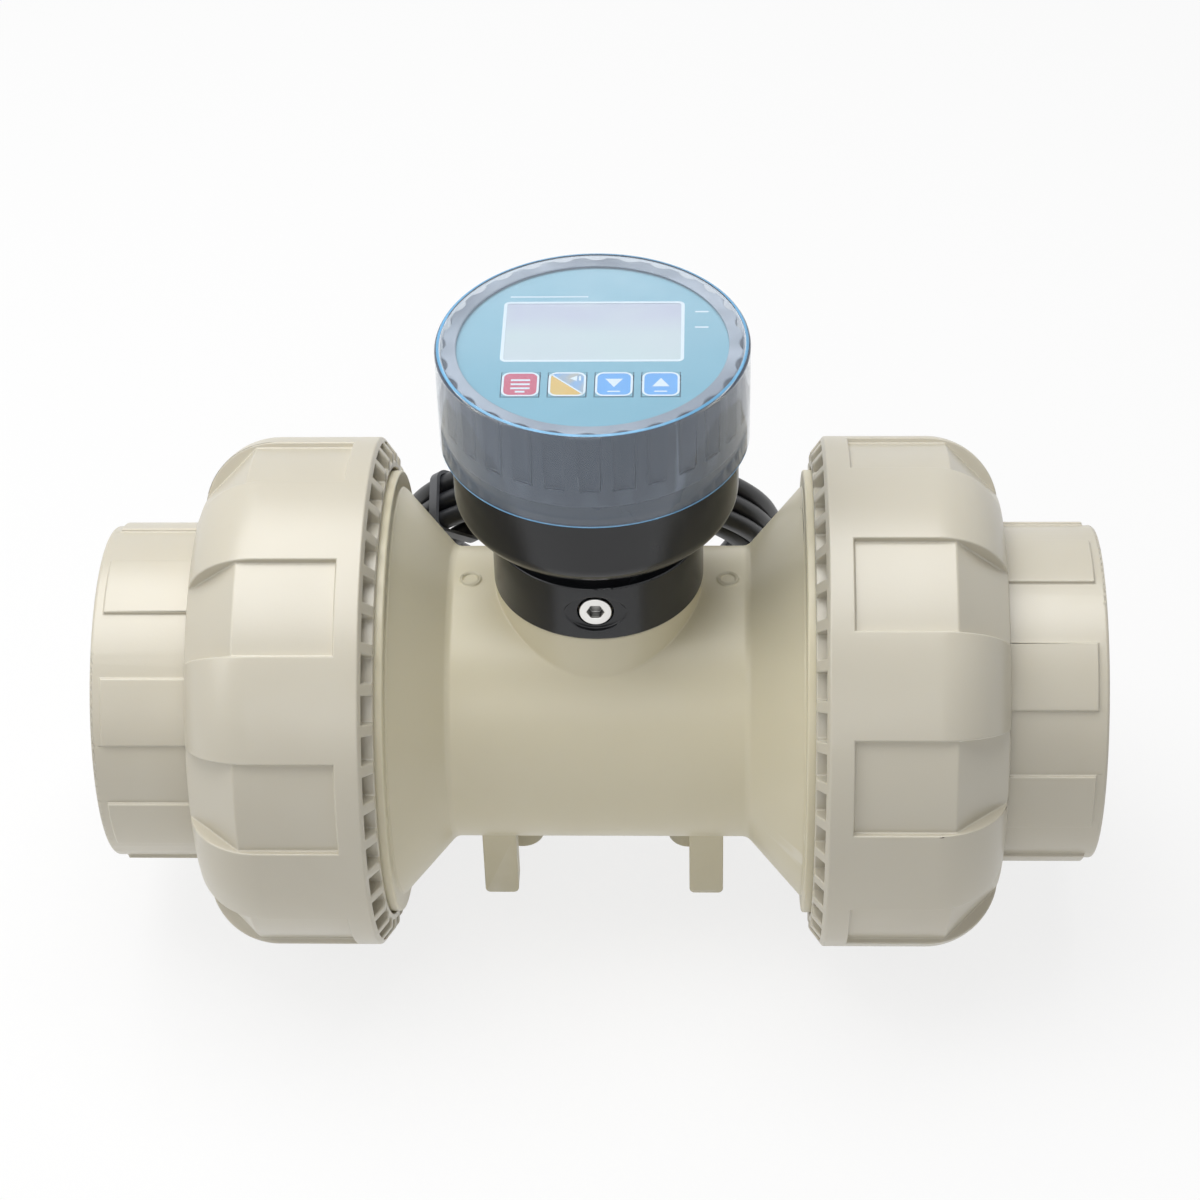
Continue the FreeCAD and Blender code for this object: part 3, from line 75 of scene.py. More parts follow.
MM = 0.001
AXIS_HEIGHT = 70.0
MERGE_DISTANCE = 0.002
FLAT_TURN = 0.5
SHARP_TURN = 28.0
SMOOTH_TURN = 35.0
FLAT_FACE_WEIGHT = 80
OFF_SKIN = 0.4
OFF_CREASE = 1.5
Point = tuple[float, float, float]
log = logging.getLogger("flow_meter")


class Side(Enum):
    """The two ends of the pipe body, and the way each one points along X."""

    LEFT = -1
    RIGHT = 1

    @property
    def word(self) -> str:
        """The side's name as the nodes have it."""
        return self.name.lower()


def linear(colour: str) -> tuple[float, float, float, float]:
    """Turn a hexadecimal screen colour into linear light.

    Args:
        colour: Six hexadecimal digits, such as "d8d0b8".

    Returns:
        Red, green, blue and an alpha of 1.
    """
    parts = [int(colour[place:place + 2], 16) / 255 for place in (0, 2, 4)]
    lit = [c / 12.92 if c <= 0.04045 else ((c + 0.055) / 1.055) ** 2.4 for c in parts]
    return (*lit, 1.0)


class Graph:
    """A short way to place and wire the nodes of one tree."""

    def __init__(self, tree: bpy.types.NodeTree) -> None:
        """Keep the tree that the nodes go into."""
        self.tree = tree

    def node(self, kind: str, values: dict | None = None, **settings: object) -> bpy.types.Node:
        """Place a node.

        Args:
            kind: The node's type, without the words ShaderNode in front.
            values: Input values by name or by place.
            settings: The node's own settings.

        Returns:
            The new node.
        """
        made = self.tree.nodes.new(kind if kind.startswith("Node") else "ShaderNode" + kind)
        for name, value in settings.items():
            setattr(made, name, value)
        for key, value in (values or {}).items():
            if isinstance(value, bpy.types.NodeSocket):
                self.tree.links.new(value, made.inputs[key])
            else:
                made.inputs[key].default_value = value
        return made

    def mixed(self, share: bpy.types.NodeSocket, first: object, second: object) -> object:
        """Mix two colours by a mask.

        Args:
            share: The mask, where 1 is all of the second colour.
            first: A colour, or the socket that gives it.
            second: A colour, or the socket that gives it.

        Returns:
            The socket of the mixed colour.
        """
        mix = self.node("Mix", data_type="RGBA")
        colour_in = [socket for socket in mix.inputs if socket.type == "RGBA"]
        self.tree.links.new(share, mix.inputs[0])
        for socket, value in zip(colour_in, (first, second)):
            if isinstance(value, bpy.types.NodeSocket):
                self.tree.links.new(value, socket)
            else:
                socket.default_value = value
        return [socket for socket in mix.outputs if socket.type == "RGBA"][0]

    def ranged(self, value: bpy.types.NodeSocket, low: float, high: float,
               to_low: float, to_high: float) -> bpy.types.NodeSocket:
        """Bring a value from one range to another, clamped, and return its socket."""
        made = self.node("MapRange", {0: value, 1: low, 2: high, 3: to_low, 4: to_high})
        return made.outputs[0]

    def times(self, first: object, second: object) -> bpy.types.NodeSocket:
        """Multiply two values and return the socket."""
        return self.node("Math", {0: first, 1: second}, operation="MULTIPLY").outputs[0]


class Effects:
    """The surface effects that several finishes share, each a node group built once."""

    def __init__(self) -> None:
        """Build the three groups."""
        self.skin = self._moulded_skin()
        self.edges = self._worn_edges()
        self.dust = self._settled_dust()

    @staticmethod
    def _group(name: str, inputs: dict[str, float], outputs: Sequence[str]) -> tuple:
        """Make an empty group.

        Args:
            name: The group's name.
            inputs: The number inputs and their defaults; a Vector input comes first.
            outputs: The names of the outputs, all numbers.

        Returns:
            The group, its graph, its input node and its output node.
        """
        group = bpy.data.node_groups.new(name, "ShaderNodeTree")
        group.interface.new_socket("Vector", in_out="INPUT", socket_type="NodeSocketVector")
        for word, value in inputs.items():
            socket = group.interface.new_socket(word, in_out="INPUT", socket_type="NodeSocketFloat")
            socket.default_value = value
        for word in outputs:
            group.interface.new_socket(word, in_out="OUTPUT", socket_type="NodeSocketFloat")
        graph = Graph(group)
        return group, graph, graph.node("NodeGroupInput"), graph.node("NodeGroupOutput")

    def _moulded_skin(self) -> bpy.types.NodeTree:
        """Build the fine grain of a spark-eroded mould, and slow mottling.

        Returns:
            The group, which puts out Grain and Mottle.
        """
        group, graph, given, out = self._group(
            "moulded_skin", {"Grain": 900.0, "Mottle": 25.0}, ("Grain", "Mottle"))
        fine = graph.node("TexNoise", {"Vector": given.outputs["Vector"],
                                       "Scale": given.outputs["Grain"], "Detail": 3.0,
                                       "Roughness": 0.6})
        slow = graph.node("TexNoise", {"Vector": given.outputs["Vector"],
                                       "Scale": given.outputs["Mottle"], "Detail": 3.0,
                                       "Roughness": 0.55, "Distortion": 0.6})
        group.links.new(fine.outputs[0], out.inputs["Grain"])
        group.links.new(graph.ranged(slow.outputs[0], 0.3, 0.7, 0.0, 1.0), out.inputs["Mottle"])
        return group

    def _worn_edges(self) -> bpy.types.NodeTree:
        """Build the mask of the sharp edges, where a lighter colour is painted on as a highlight.

        Returns:
            The group, which puts out Mask.
        """
        group, graph, given, out = self._group("worn_edges", {"Breakup": 120.0}, ("Mask",))
        pointed = graph.node("NewGeometry").outputs["Pointiness"]
        edge = graph.ranged(pointed, 0.52, 0.60, 0.0, 1.0)
        patches = graph.node("TexNoise", {"Vector": given.outputs["Vector"],
                                          "Scale": given.outputs["Breakup"], "Detail": 2.0})
        broken = graph.ranged(patches.outputs[0], 0.35, 0.65, 0.3, 1.0)
        group.links.new(graph.times(edge, broken), out.inputs["Mask"])
        return group

    def _settled_dust(self) -> bpy.types.NodeTree:
        """Build the mask of the faces that look up, where dust settles in patches.

        Returns:
            The group, which puts out Mask.
        """
        group, graph, given, out = self._group("settled_dust", {"Patches": 60.0}, ("Mask",))
        normal = graph.node("NewGeometry").outputs["Normal"]
        upward = graph.node("SeparateXYZ", {0: normal}).outputs["Z"]
        facing = graph.ranged(upward, 0.4, 1.0, 0.0, 1.0)
        noise = graph.node("TexNoise", {"Vector": given.outputs["Vector"],
                                        "Scale": given.outputs["Patches"], "Detail": 6.0})
        patches = graph.ranged(noise.outputs[0], 0.4, 0.7, 0.1, 1.0)
        group.links.new(graph.times(facing, patches), out.inputs["Mask"])
        return group


EFFECTS = Effects()


@dataclass(frozen=True)
class Finish:
    """An opaque surface: its two colours, its gloss, its grain, its painted edge highlight and its
    dust.
    """

    name: str
    colour: str
    mottle_colour: str
    roughness: float = 0.4
    swing: float = 0.06
    grain: float = 900.0
    grain_height: float = 0.02
    mottle: float = 25.0
    metallic: float = 0.0
    specular: float = 0.5
    coat: float = 0.0
    worn_colour: str = ""
    dust_colour: str = ""
    dust: float = 0.25

    def material(self) -> bpy.types.Material:
        """Return the finish's material, built the first time it is asked for."""
        known = bpy.data.materials.get(self.name)
        return known or self.build()

    def build(self) -> bpy.types.Material:
        """Build the material.

        Returns:
            The new material, with its colour, roughness and normal all driven by the groups.
        """
        made = bpy.data.materials.new(self.name)
        made.use_nodes = True
        made.node_tree.nodes.clear()
        graph = Graph(made.node_tree)
        place = graph.node("TexCoord").outputs["Object"]
        skin = graph.node("Group", node_tree=EFFECTS.skin)
        skin.inputs["Grain"].default_value = self.grain
        skin.inputs["Mottle"].default_value = self.mottle
        graph.tree.links.new(place, skin.inputs["Vector"])
        colour = self.coloured(graph, place, skin.outputs["Mottle"])
        rough = graph.ranged(skin.outputs["Mottle"], 0.0, 1.0,
                             self.roughness - self.swing, self.roughness + self.swing)
        bump = graph.node("Bump", {"Height": skin.outputs["Grain"], "Strength": 0.6,
                                   "Distance": self.grain_height * MM})
        shader = graph.node("BsdfPrincipled", {
            "Base Color": colour, "Roughness": rough, "Metallic": self.metallic,
            "Specular IOR Level": self.specular, "Coat Weight": self.coat,
            "Coat Roughness": 0.12, "Normal": bump.outputs[0]})
        self.extra(shader)
        graph.node("OutputMaterial", {"Surface": shader.outputs[0]})
        return made

    def coloured(self, graph: Graph, place: bpy.types.NodeSocket,
                 mottle: bpy.types.NodeSocket) -> bpy.types.NodeSocket:
        """Mix the finish's colours, with a painted highlight on the edges and dust where it has
        them.

        Args:
            graph: The material's graph.
            place: Object coordinates.
            mottle: The slow mottling of the skin.

        Returns:
            The colour socket.
        """
        colour = graph.mixed(mottle, self.ground(graph, place), linear(self.mottle_colour))
        # The lighter edge colour is a painted highlight along the sharp edges; the dust colour
        # settles on faces that look up.
        for group, shade, amount in ((EFFECTS.edges, self.worn_colour, 0.5),
                                     (EFFECTS.dust, self.dust_colour, self.dust)):
            if shade:
                mask = graph.node("Group", {"Vector": place}, node_tree=group).outputs["Mask"]
                colour = graph.mixed(graph.times(mask, amount), colour, linear(shade))
        return colour

    def ground(self, graph: Graph, place: bpy.types.NodeSocket) -> object:
        """Return the main colour, which a kind of finish may vary over the piece."""
        return linear(self.colour)

    def extra(self, shader: bpy.types.Node) -> None:
        """Set what only some finishes have."""


@dataclass(frozen=True)
class WaxyFinish(Finish):
    """A polyolefin moulding, a little translucent under its skin."""

    depth: float = 1.2

    def extra(self, shader: bpy.types.Node) -> None:
        """Let light in under the skin.

        Args:
            shader: The finish's Principled shader.
        """
        shader.inputs["Subsurface Weight"].default_value = 0.12
        shader.inputs["Subsurface Radius"].default_value = (1.0, 0.8, 0.5)
        shader.inputs["Subsurface Scale"].default_value = self.depth * MM


@dataclass(frozen=True)
class SplitFinish(Finish):
    """A finish that changes colour across a plane through the piece."""

    other_colour: str = "ffffff"
    normal: Point = (0.0, 0.0, 1.0)
    distance: float = 0.0
    blend: float = 0.2

    def ground(self, graph: Graph, place: bpy.types.NodeSocket) -> object:
        """Mix the two colours across the plane.

        Args:
            graph: The material's graph.
            place: Object coordinates.

        Returns:
            The colour socket.
        """
        along = graph.node("VectorMath", {0: place, 1: self.normal}, operation="DOT_PRODUCT")
        mask = graph.ranged(along.outputs["Value"], (self.distance - self.blend) * MM,
                            (self.distance + self.blend) * MM, 0.0, 1.0)
        return graph.mixed(mask, linear(self.colour), linear(self.other_colour))


@dataclass(frozen=True)
class LitEdgeFinish(Finish):
    """The edge of a clear moulding, given a blue tint and a painted glow for the light carried
    inside the plastic.
    """

    glow: float = 0.08

    def extra(self, shader: bpy.types.Node) -> None:
        """Let some light through, and add a painted glow.

        Args:
            shader: The finish's Principled shader.
        """
        shader.inputs["Transmission Weight"].default_value = 0.35
        shader.inputs["IOR"].default_value = 1.49
        shader.inputs["Emission Color"].default_value = linear(self.colour)
        shader.inputs["Emission Strength"].default_value = self.glow


@dataclass(frozen=True)
class ClearFinish(Finish):
    """A clear plastic that lets light through to what lies behind it."""

    index: float = 1.49
    haze: float = 0.06
    haze_colour: str = "a4bfe4"
    shadow: str = "f2f6f9"

    def build(self) -> bpy.types.Material:
        """Build the clear material, whose shadow is as light as the real one's.

        Returns:
            The new material.
        """
        made = bpy.data.materials.new(self.name)
        made.use_nodes = True
        made.node_tree.nodes.clear()
        graph = Graph(made.node_tree)
        place = graph.node("TexCoord").outputs["Object"]
        skin = graph.node("Group", {"Vector": place}, node_tree=EFFECTS.skin)
        colour = graph.mixed(skin.outputs["Mottle"], linear(self.colour),
                             linear(self.mottle_colour))
        clear = graph.node("BsdfPrincipled", {
            "Base Color": colour, "Roughness": self.roughness, "IOR": self.index,
            "Transmission Weight": 1.0, "Specular IOR Level": self.specular})
        milky = graph.node("BsdfDiffuse", {"Color": linear(self.haze_colour)})
        glass = graph.node("MixShader", {0: self.haze, 1: clear.outputs[0], 2: milky.outputs[0]})
        light = graph.node("LightPath")
        veil = graph.node("BsdfTransparent", {"Color": linear(self.shadow)})
        passing = graph.node("Math", {0: light.outputs["Is Shadow Ray"],
                                      1: light.outputs["Is Diffuse Ray"]}, operation="MAXIMUM")
        mix = graph.node("MixShader", {0: passing.outputs[0], 1: glass.outputs[0],
                                       2: veil.outputs[0]})
        graph.node("OutputMaterial", {"Surface": mix.outputs[0]})
        return made


# The lighter edge colours given below are painted highlights along the sharp edges.
FINISHES: dict[str, Finish] = {
    "body_plastic": WaxyFinish("beige_pipe_moulding", "dcd4b9", "d6ceb2", 0.36, 0.05, 1100.0,
                               0.02, 14.0, specular=0.6, worn_colour="ece8dc"),
    "black_plastic": Finish("black_head_moulding", "17181b", "1c1e22", 0.24, 0.04, 1400.0, 0.003,
                            18.0, worn_colour="3a3d42", dust_colour="55585c", dust=0.05),
    "clear_cap": ClearFinish("clear_dust_cap", "f8fbfe", "f5fafd", 0.0, 0.0),
    "window": SplitFinish("display_window", "dbe4de", "dcdfde", 0.16, 0.04, 900.0, 0.002, 40.0,
                          coat=0.5, other_colour="cdc7d8", normal=(0.0, 1.0, 0.0),
                          distance=9.5, blend=4.0),
    "face_print": SplitFinish("teal_face_film", "7ab0be", "84b8c6", 0.42, 0.06, 1500.0, 0.006,
                              22.0, specular=0.4, other_colour="b2d2da",
                              normal=(0.0, 1.0, 0.0), distance=8.0, blend=26.0),
    "key_red": Finish("red_key_film", "d4465a", "d8536a", 0.4, 0.05, 1500.0, 0.006, 60.0),
    "key_mixed": SplitFinish("two_colour_key_film", "f2bd45", "e8c469", 0.4, 0.05, 1500.0, 0.006,
                             60.0, other_colour="6aaeea", normal=(0.7071, 0.7071, 0.0),
                             distance=-15.52, blend=0.05),
    "key_blue": Finish("blue_key_film", "5fa8ea", "6ab0ee", 0.4, 0.05, 1500.0, 0.006, 60.0),
    "lcd_glass": SplitFinish("display_glass", "cfd8d3", "cdd2d8", 0.18, 0.04, 900.0, 0.002, 30.0,
                             coat=0.4, other_colour="c3bfd0", normal=(0.0, 1.0, 0.0),
                             distance=11.0, blend=2.5),
    "circuit_board": Finish("green_circuit_board", "1f6b45", "278053", 0.35, 0.08, 300.0, 0.03,
                            160.0, coat=0.3),
    "switch_metal": Finish("tin_plated_steel", "b9bcc0", "a9adb2", 0.32, 0.1, 1500.0, 0.01, 80.0,
                           metallic=1.0),
    "terminal_green": Finish("green_terminal_block", "3f9a5a", "348850", 0.45, 0.06, 900.0),
    "seal_rubber": Finish("black_seal_rubber", "1b1b1c", "232325", 0.62, 0.06, 700.0, 0.02, 60.0,
                          dust_colour="4c4c4e"),
    "screw_steel": Finish("bright_stainless_steel", "f0efec", "e4e3e0", 0.3, 0.06, 2200.0, 0.006,
                          90.0, metallic=1.0),
    "electrode_steel": Finish("polished_electrode_steel", "c2c4c6", "b0b3b6", 0.18, 0.05, 2200.0,
                              0.004, 70.0, metallic=1.0),
    "insert_brass": Finish("knurled_brass", "c9a24c", "b58c3a", 0.32, 0.08, 1600.0, 0.03, 90.0,
                           metallic=1.0),
    "core_iron": Finish("soft_iron", "6f7276", "5f6266", 0.45, 0.1, 1500.0, 0.02, 60.0,
                        metallic=1.0),
    "bobbin_plastic": Finish("natural_nylon", "e4ddc8", "dcd3ba", 0.45, 0.06, 900.0),
    "winding_copper": Finish("enamelled_copper", "a8542a", "8f4321", 0.3, 0.08, 1800.0, 0.05,
                             120.0, metallic=0.8),
    "cable_jacket": Finish("black_cable_jacket", "16171a", "1e2024", 0.38, 0.06, 1200.0, 0.015,
                           45.0, dust_colour="505357", dust=0.06),
    "tie_grey": Finish("grey_tie_nylon", "54565a", "4b4d51", 0.38, 0.06, 1000.0, 0.01, 60.0),
    "core_colours": Finish("brown_core", "6a3b22", "75442a", 0.42, 0.06, 1200.0, 0.01, 60.0),
    "gland_black": Finish("black_gland_nylon", "1a1b1d", "222427", 0.42, 0.06, 1200.0, 0.015, 40.0,
                          worn_colour="3c3f44", dust_colour="55585c", dust=0.08),
}
WHITE_INK = Finish("white_ink", "f6fafb", "eef4f6", 0.5, 0.05, 1500.0, 0.004, 60.0)
# Its whiter edge colour is a painted highlight along the sharp edges.
UNION_PLASTIC = WaxyFinish("beige_union_moulding", "ccc6b5", "c6bfad", 0.34, 0.05, 1100.0, 0.02,
                           14.0, specular=0.9, worn_colour="eeebe2")
LIT_EDGE = LitEdgeFinish("lit_cap_edge", "6db2e0", "7abbe6", 0.2, 0.05, 1500.0, 0.002, 60.0)
SLOT_OF_NODE = {part["node"]: part["material_slot"] for part in frame["record"]["subparts"]}


def body_of(node: str) -> str:
    """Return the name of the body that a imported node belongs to."""
    return frame["nodes"][node]["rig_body"]


def dress(piece: bpy.types.Object, finish: Finish) -> None:
    """Put one finish on the whole piece."""
    piece.data.materials.clear()
    piece.data.materials.append(finish.material())


def sweep(bm: bmesh.types.BMesh) -> None:
    """Merge doubles and point every face outwards."""
    bmesh.ops.remove_doubles(bm, verts=bm.verts, dist=1e-4)
    bmesh.ops.recalc_face_normals(bm, faces=bm.faces)


def make_piece(name: str, bm: bmesh.types.BMesh, body: str, slot: str,
               finish: Finish | None = None) -> bpy.types.Object:
    """Turn a bmesh in millimetres into a piece that rides on a body.

    Args:
        name: The piece's name.
        bm: The mesh, which is freed.
        body: The body that it rides on.
        slot: The record's material slot that it stands for.
        finish: Its finish, if it isn't the slot's own.

    Returns:
        The piece.
    """
    bm.transform(Matrix.Scale(MM, 4))
    mesh = bpy.data.meshes.new(name)
    bm.to_mesh(mesh)
    bm.free()
    for face in mesh.polygons:
        face.use_smooth = True
    mesh.set_sharp_from_angle(angle=math.radians(SMOOTH_TURN))
    piece = bpy.data.objects.new(name, mesh)
    bpy.context.scene.collection.objects.link(piece)
    dress(piece, finish or FINISHES[slot])
    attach(piece, body)
    log.info("%s: %d faces, rides on %s", name, len(mesh.polygons), body)
    return piece


def gather_strays(bm: bmesh.types.BMesh, strays: set[bmesh.types.BMVert]) -> None:
    """Bring each corner that the easing threw out back to its best placed sound neighbour.

    Args:
        bm: The eased mesh.
        strays: Its corners that lie where they shouldn't; the set is emptied.
    """
    while strays:
        sound = {vert: [edge.other_vert(vert) for edge in vert.link_edges
                        if edge.other_vert(vert) not in strays] for vert in strays}
        ready = {vert: near for vert, near in sound.items() if near}
        if not ready:
            break
        for vert, near in ready.items():
            vert.co = min(near, key=lambda one: sum((one.co - two.co).length for two in near)).co
        strays -= set(ready)
    bmesh.ops.dissolve_degenerate(bm, dist=MERGE_DISTANCE, edges=bm.edges)


def packed_copy(node: str) -> bmesh.types.BMesh:
    """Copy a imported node's mesh.

    Args:
        node: The node.

    Returns:
        The copy, in millimetres.
    """
    bm = bmesh.new()
    bm.from_mesh(frame["nodes"][node].data)
    bm.transform(Matrix.Scale(1 / MM, 4))
    return bm


def join(bm: bmesh.types.BMesh, other: bmesh.types.BMesh) -> None:
    """Move the faces of one mesh into another.

    Args:
        bm: The mesh that takes them.
        other: The mesh that gives them, which is freed.
    """
    loose = bpy.data.meshes.new("loose")
    other.to_mesh(loose)
    other.free()
    bm.from_mesh(loose)
    bpy.data.meshes.remove(loose)


def eased_copy(node: str, width: float, steps: int = 2) -> bmesh.types.BMesh:
    """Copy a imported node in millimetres, and ease its sharp edges as a mould or a lathe does.

    Args:
        node: The node.
        width: Width of the eased edge.
        steps: Segments across the eased edge.

    Returns:
        The eased copy, none of it outside the node's own box.
    """
    bm = packed_copy(node)
    bmesh.ops.remove_doubles(bm, verts=bm.verts, dist=MERGE_DISTANCE)
    bmesh.ops.dissolve_limit(bm, angle_limit=math.radians(FLAT_TURN), verts=bm.verts,
                             edges=bm.edges)
    bmesh.ops.recalc_face_normals(bm, faces=bm.faces)
    sharp = [edge for edge in bm.edges
             if edge.is_manifold and edge.calc_face_angle(0.0) > math.radians(SHARP_TURN)]
    crease = [edge.verts[0].co.lerp(edge.verts[1].co, (place + 0.5) * width / edge.calc_length())
              for edge in sharp for place in range(math.ceil(edge.calc_length() / width))]
    creases = KDTree(len(crease))
    for number, point in enumerate(crease):
        creases.insert(point, number)
    creases.balance()
    skin = BVHTree.FromBMesh(bm)
    eased = bmesh.ops.bevel(bm, geom=sharp, offset=width, offset_type="OFFSET", segments=steps,
                            profile=0.5, affect="EDGES", clamp_overlap=False, loop_slide=False,
                            material=-1)
    low, high = (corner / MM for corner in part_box(node))
    gather_strays(bm, {vert for vert in eased["verts"]
                       if skin.find_nearest(vert.co)[3] > OFF_SKIN * width
                       or creases.find(vert.co)[2] > OFF_CREASE * width
                       or any(c < a - MERGE_DISTANCE or c > b + MERGE_DISTANCE
                              for a, c, b in zip(low, vert.co, high))})
    return bm


def eased_piece(node: str, name: str, width: float, steps: int = 2,
                finish: Finish | None = None) -> None:
    """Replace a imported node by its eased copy, whose flat faces stay flat beside the edges.

    Args:
        node: The node.
        name: The piece's name.
        width: Width of the eased edge.
        steps: Segments across the eased edge.
        finish: Its finish, if it isn't the slot's own.
    """
    piece = make_piece(name, eased_copy(node, width, steps), body_of(node), SLOT_OF_NODE[node],
                       finish)
    weighted = piece.modifiers.new("flat_faces", "WEIGHTED_NORMAL")
    weighted.keep_sharp = True
    weighted.weight = FLAT_FACE_WEIGHT
    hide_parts(node)


def copied_piece(node: str, name: str) -> bpy.types.Object:
    """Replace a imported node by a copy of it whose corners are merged, so that it shades well.

    Args:
        node: The node.
        name: The piece's name.

    Returns:
        The piece.
    """
    bm = packed_copy(node)
    sweep(bm)
    piece = make_piece(name, bm, body_of(node), SLOT_OF_NODE[node])
    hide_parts(node)
    return piece


def spun(outline: Sequence[tuple[float, float]], steps: int) -> bmesh.types.BMesh:
    """Spin a closed outline about the head's axis into a solid of revolution.

    Args:
        outline: Corners as (radius, height).
        steps: Steps round the full turn.

    Returns:
        The closed mesh in millimetres.
    """
    bm = bmesh.new()
    corners = [bm.verts.new((radius, 0.0, height)) for radius, height in outline]
    edges = [bm.edges.new((corners[i - 1], corners[i])) for i in range(len(corners))
             if outline[i - 1][0] > 0 or outline[i][0] > 0]
    bmesh.ops.spin(bm, geom=[*corners, *edges], cent=(0, 0, 0), axis=(0, 0, 1),
                   angle=2 * math.pi, steps=steps, use_merge=True)
    sweep(bm)
    return bm


@dataclass(frozen=True)
class Thread:
    """A rounded union thread as one helical ridge about the pipe axis."""

    root: float
    crest: float
    start: float
    end: float
    pitch: float = 5.0
    foot: float = 2.2
    land: float = 0.9
    sink: float = 0.25
    phase: float = 0.0
    steps_per_turn: int = 96

    def mesh(self, side: Side) -> bmesh.types.BMesh:
        """Wind the ridge for one side.

        Args:
            side: The end of the body that it is on.

        Returns:
            The closed ridge, right-handed seen from its own end.
        """
        sign = side.value
        turns = (self.end - self.start - self.foot) / self.pitch
        steps = round(turns * self.steps_per_turn)
        bm = bmesh.new()
        sunk = self.root + math.copysign(self.sink, self.root - self.crest)
        flank = self.foot / 2 - self.land / 2
        profile = ((sunk, 0.0), (self.root, 0.0), (self.crest, flank),
                   (self.crest, self.foot / 2 + self.land / 2), (self.root, self.foot),
                   (sunk, self.foot))
        corners = [bm.verts.new((sign * (self.start + along), 0.0, AXIS_HEIGHT + radius))
                   for radius, along in profile]
        edges = [bm.edges.new((corners[i - 1], corners[i])) for i in range(len(corners))]
        bmesh.ops.rotate(bm, verts=bm.verts, cent=(0, 0, AXIS_HEIGHT),
                         matrix=Matrix.Rotation(math.radians(self.phase), 3, "X"))
        bmesh.ops.spin(bm, geom=[*corners, *edges], cent=(0, 0, AXIS_HEIGHT), axis=(sign, 0, 0),
                       dvec=(sign * self.pitch * turns / steps, 0, 0), angle=2 * math.pi * turns,
                       steps=steps, use_merge=False)
        bmesh.ops.holes_fill(bm, edges=[edge for edge in bm.edges if edge.is_boundary], sides=0)
        bmesh.ops.recalc_face_normals(bm, faces=bm.faces)
        return bm


@dataclass
class PipeBody:
    """The beige tube between the unions, on its four legs."""

    edge: float = 0.5
    male_thread: Thread = Thread(root=56.2, crest=58.0, start=60.2, end=77.4)

    def build(self) -> None:
        """Ease the moulding's edges and wind its two male threads."""
        eased_piece("meter_body", "meter_body_moulding", self.edge, 3)
        for side in Side:
            make_piece(f"male_thread_{side.word}", self.male_thread.mesh(side), "meter",
                       "body_plastic")


@dataclass
class Unions:
    """The union nut and the pipe socket at each end."""

    nut_edge: float = 0.45
    socket_edge: float = 0.45
    female_thread: Thread = Thread(root=58.4, crest=56.7, start=63.4, end=85.4, phase=180.0)

    def build(self) -> None:
        """Ease both nuts and sockets, and wind the female threads."""
        for side in Side:
            nut = f"union_nut_{side.word}"
            eased_piece(nut, f"{nut}_moulding", self.nut_edge, 3, UNION_PLASTIC)
            end = f"union_end_{side.word}"
            eased_piece(end, f"{end}_moulding", self.socket_edge, 3, UNION_PLASTIC)
            make_piece(f"female_thread_{side.word}", self.female_thread.mesh(side), nut,
                       "body_plastic", UNION_PLASTIC)


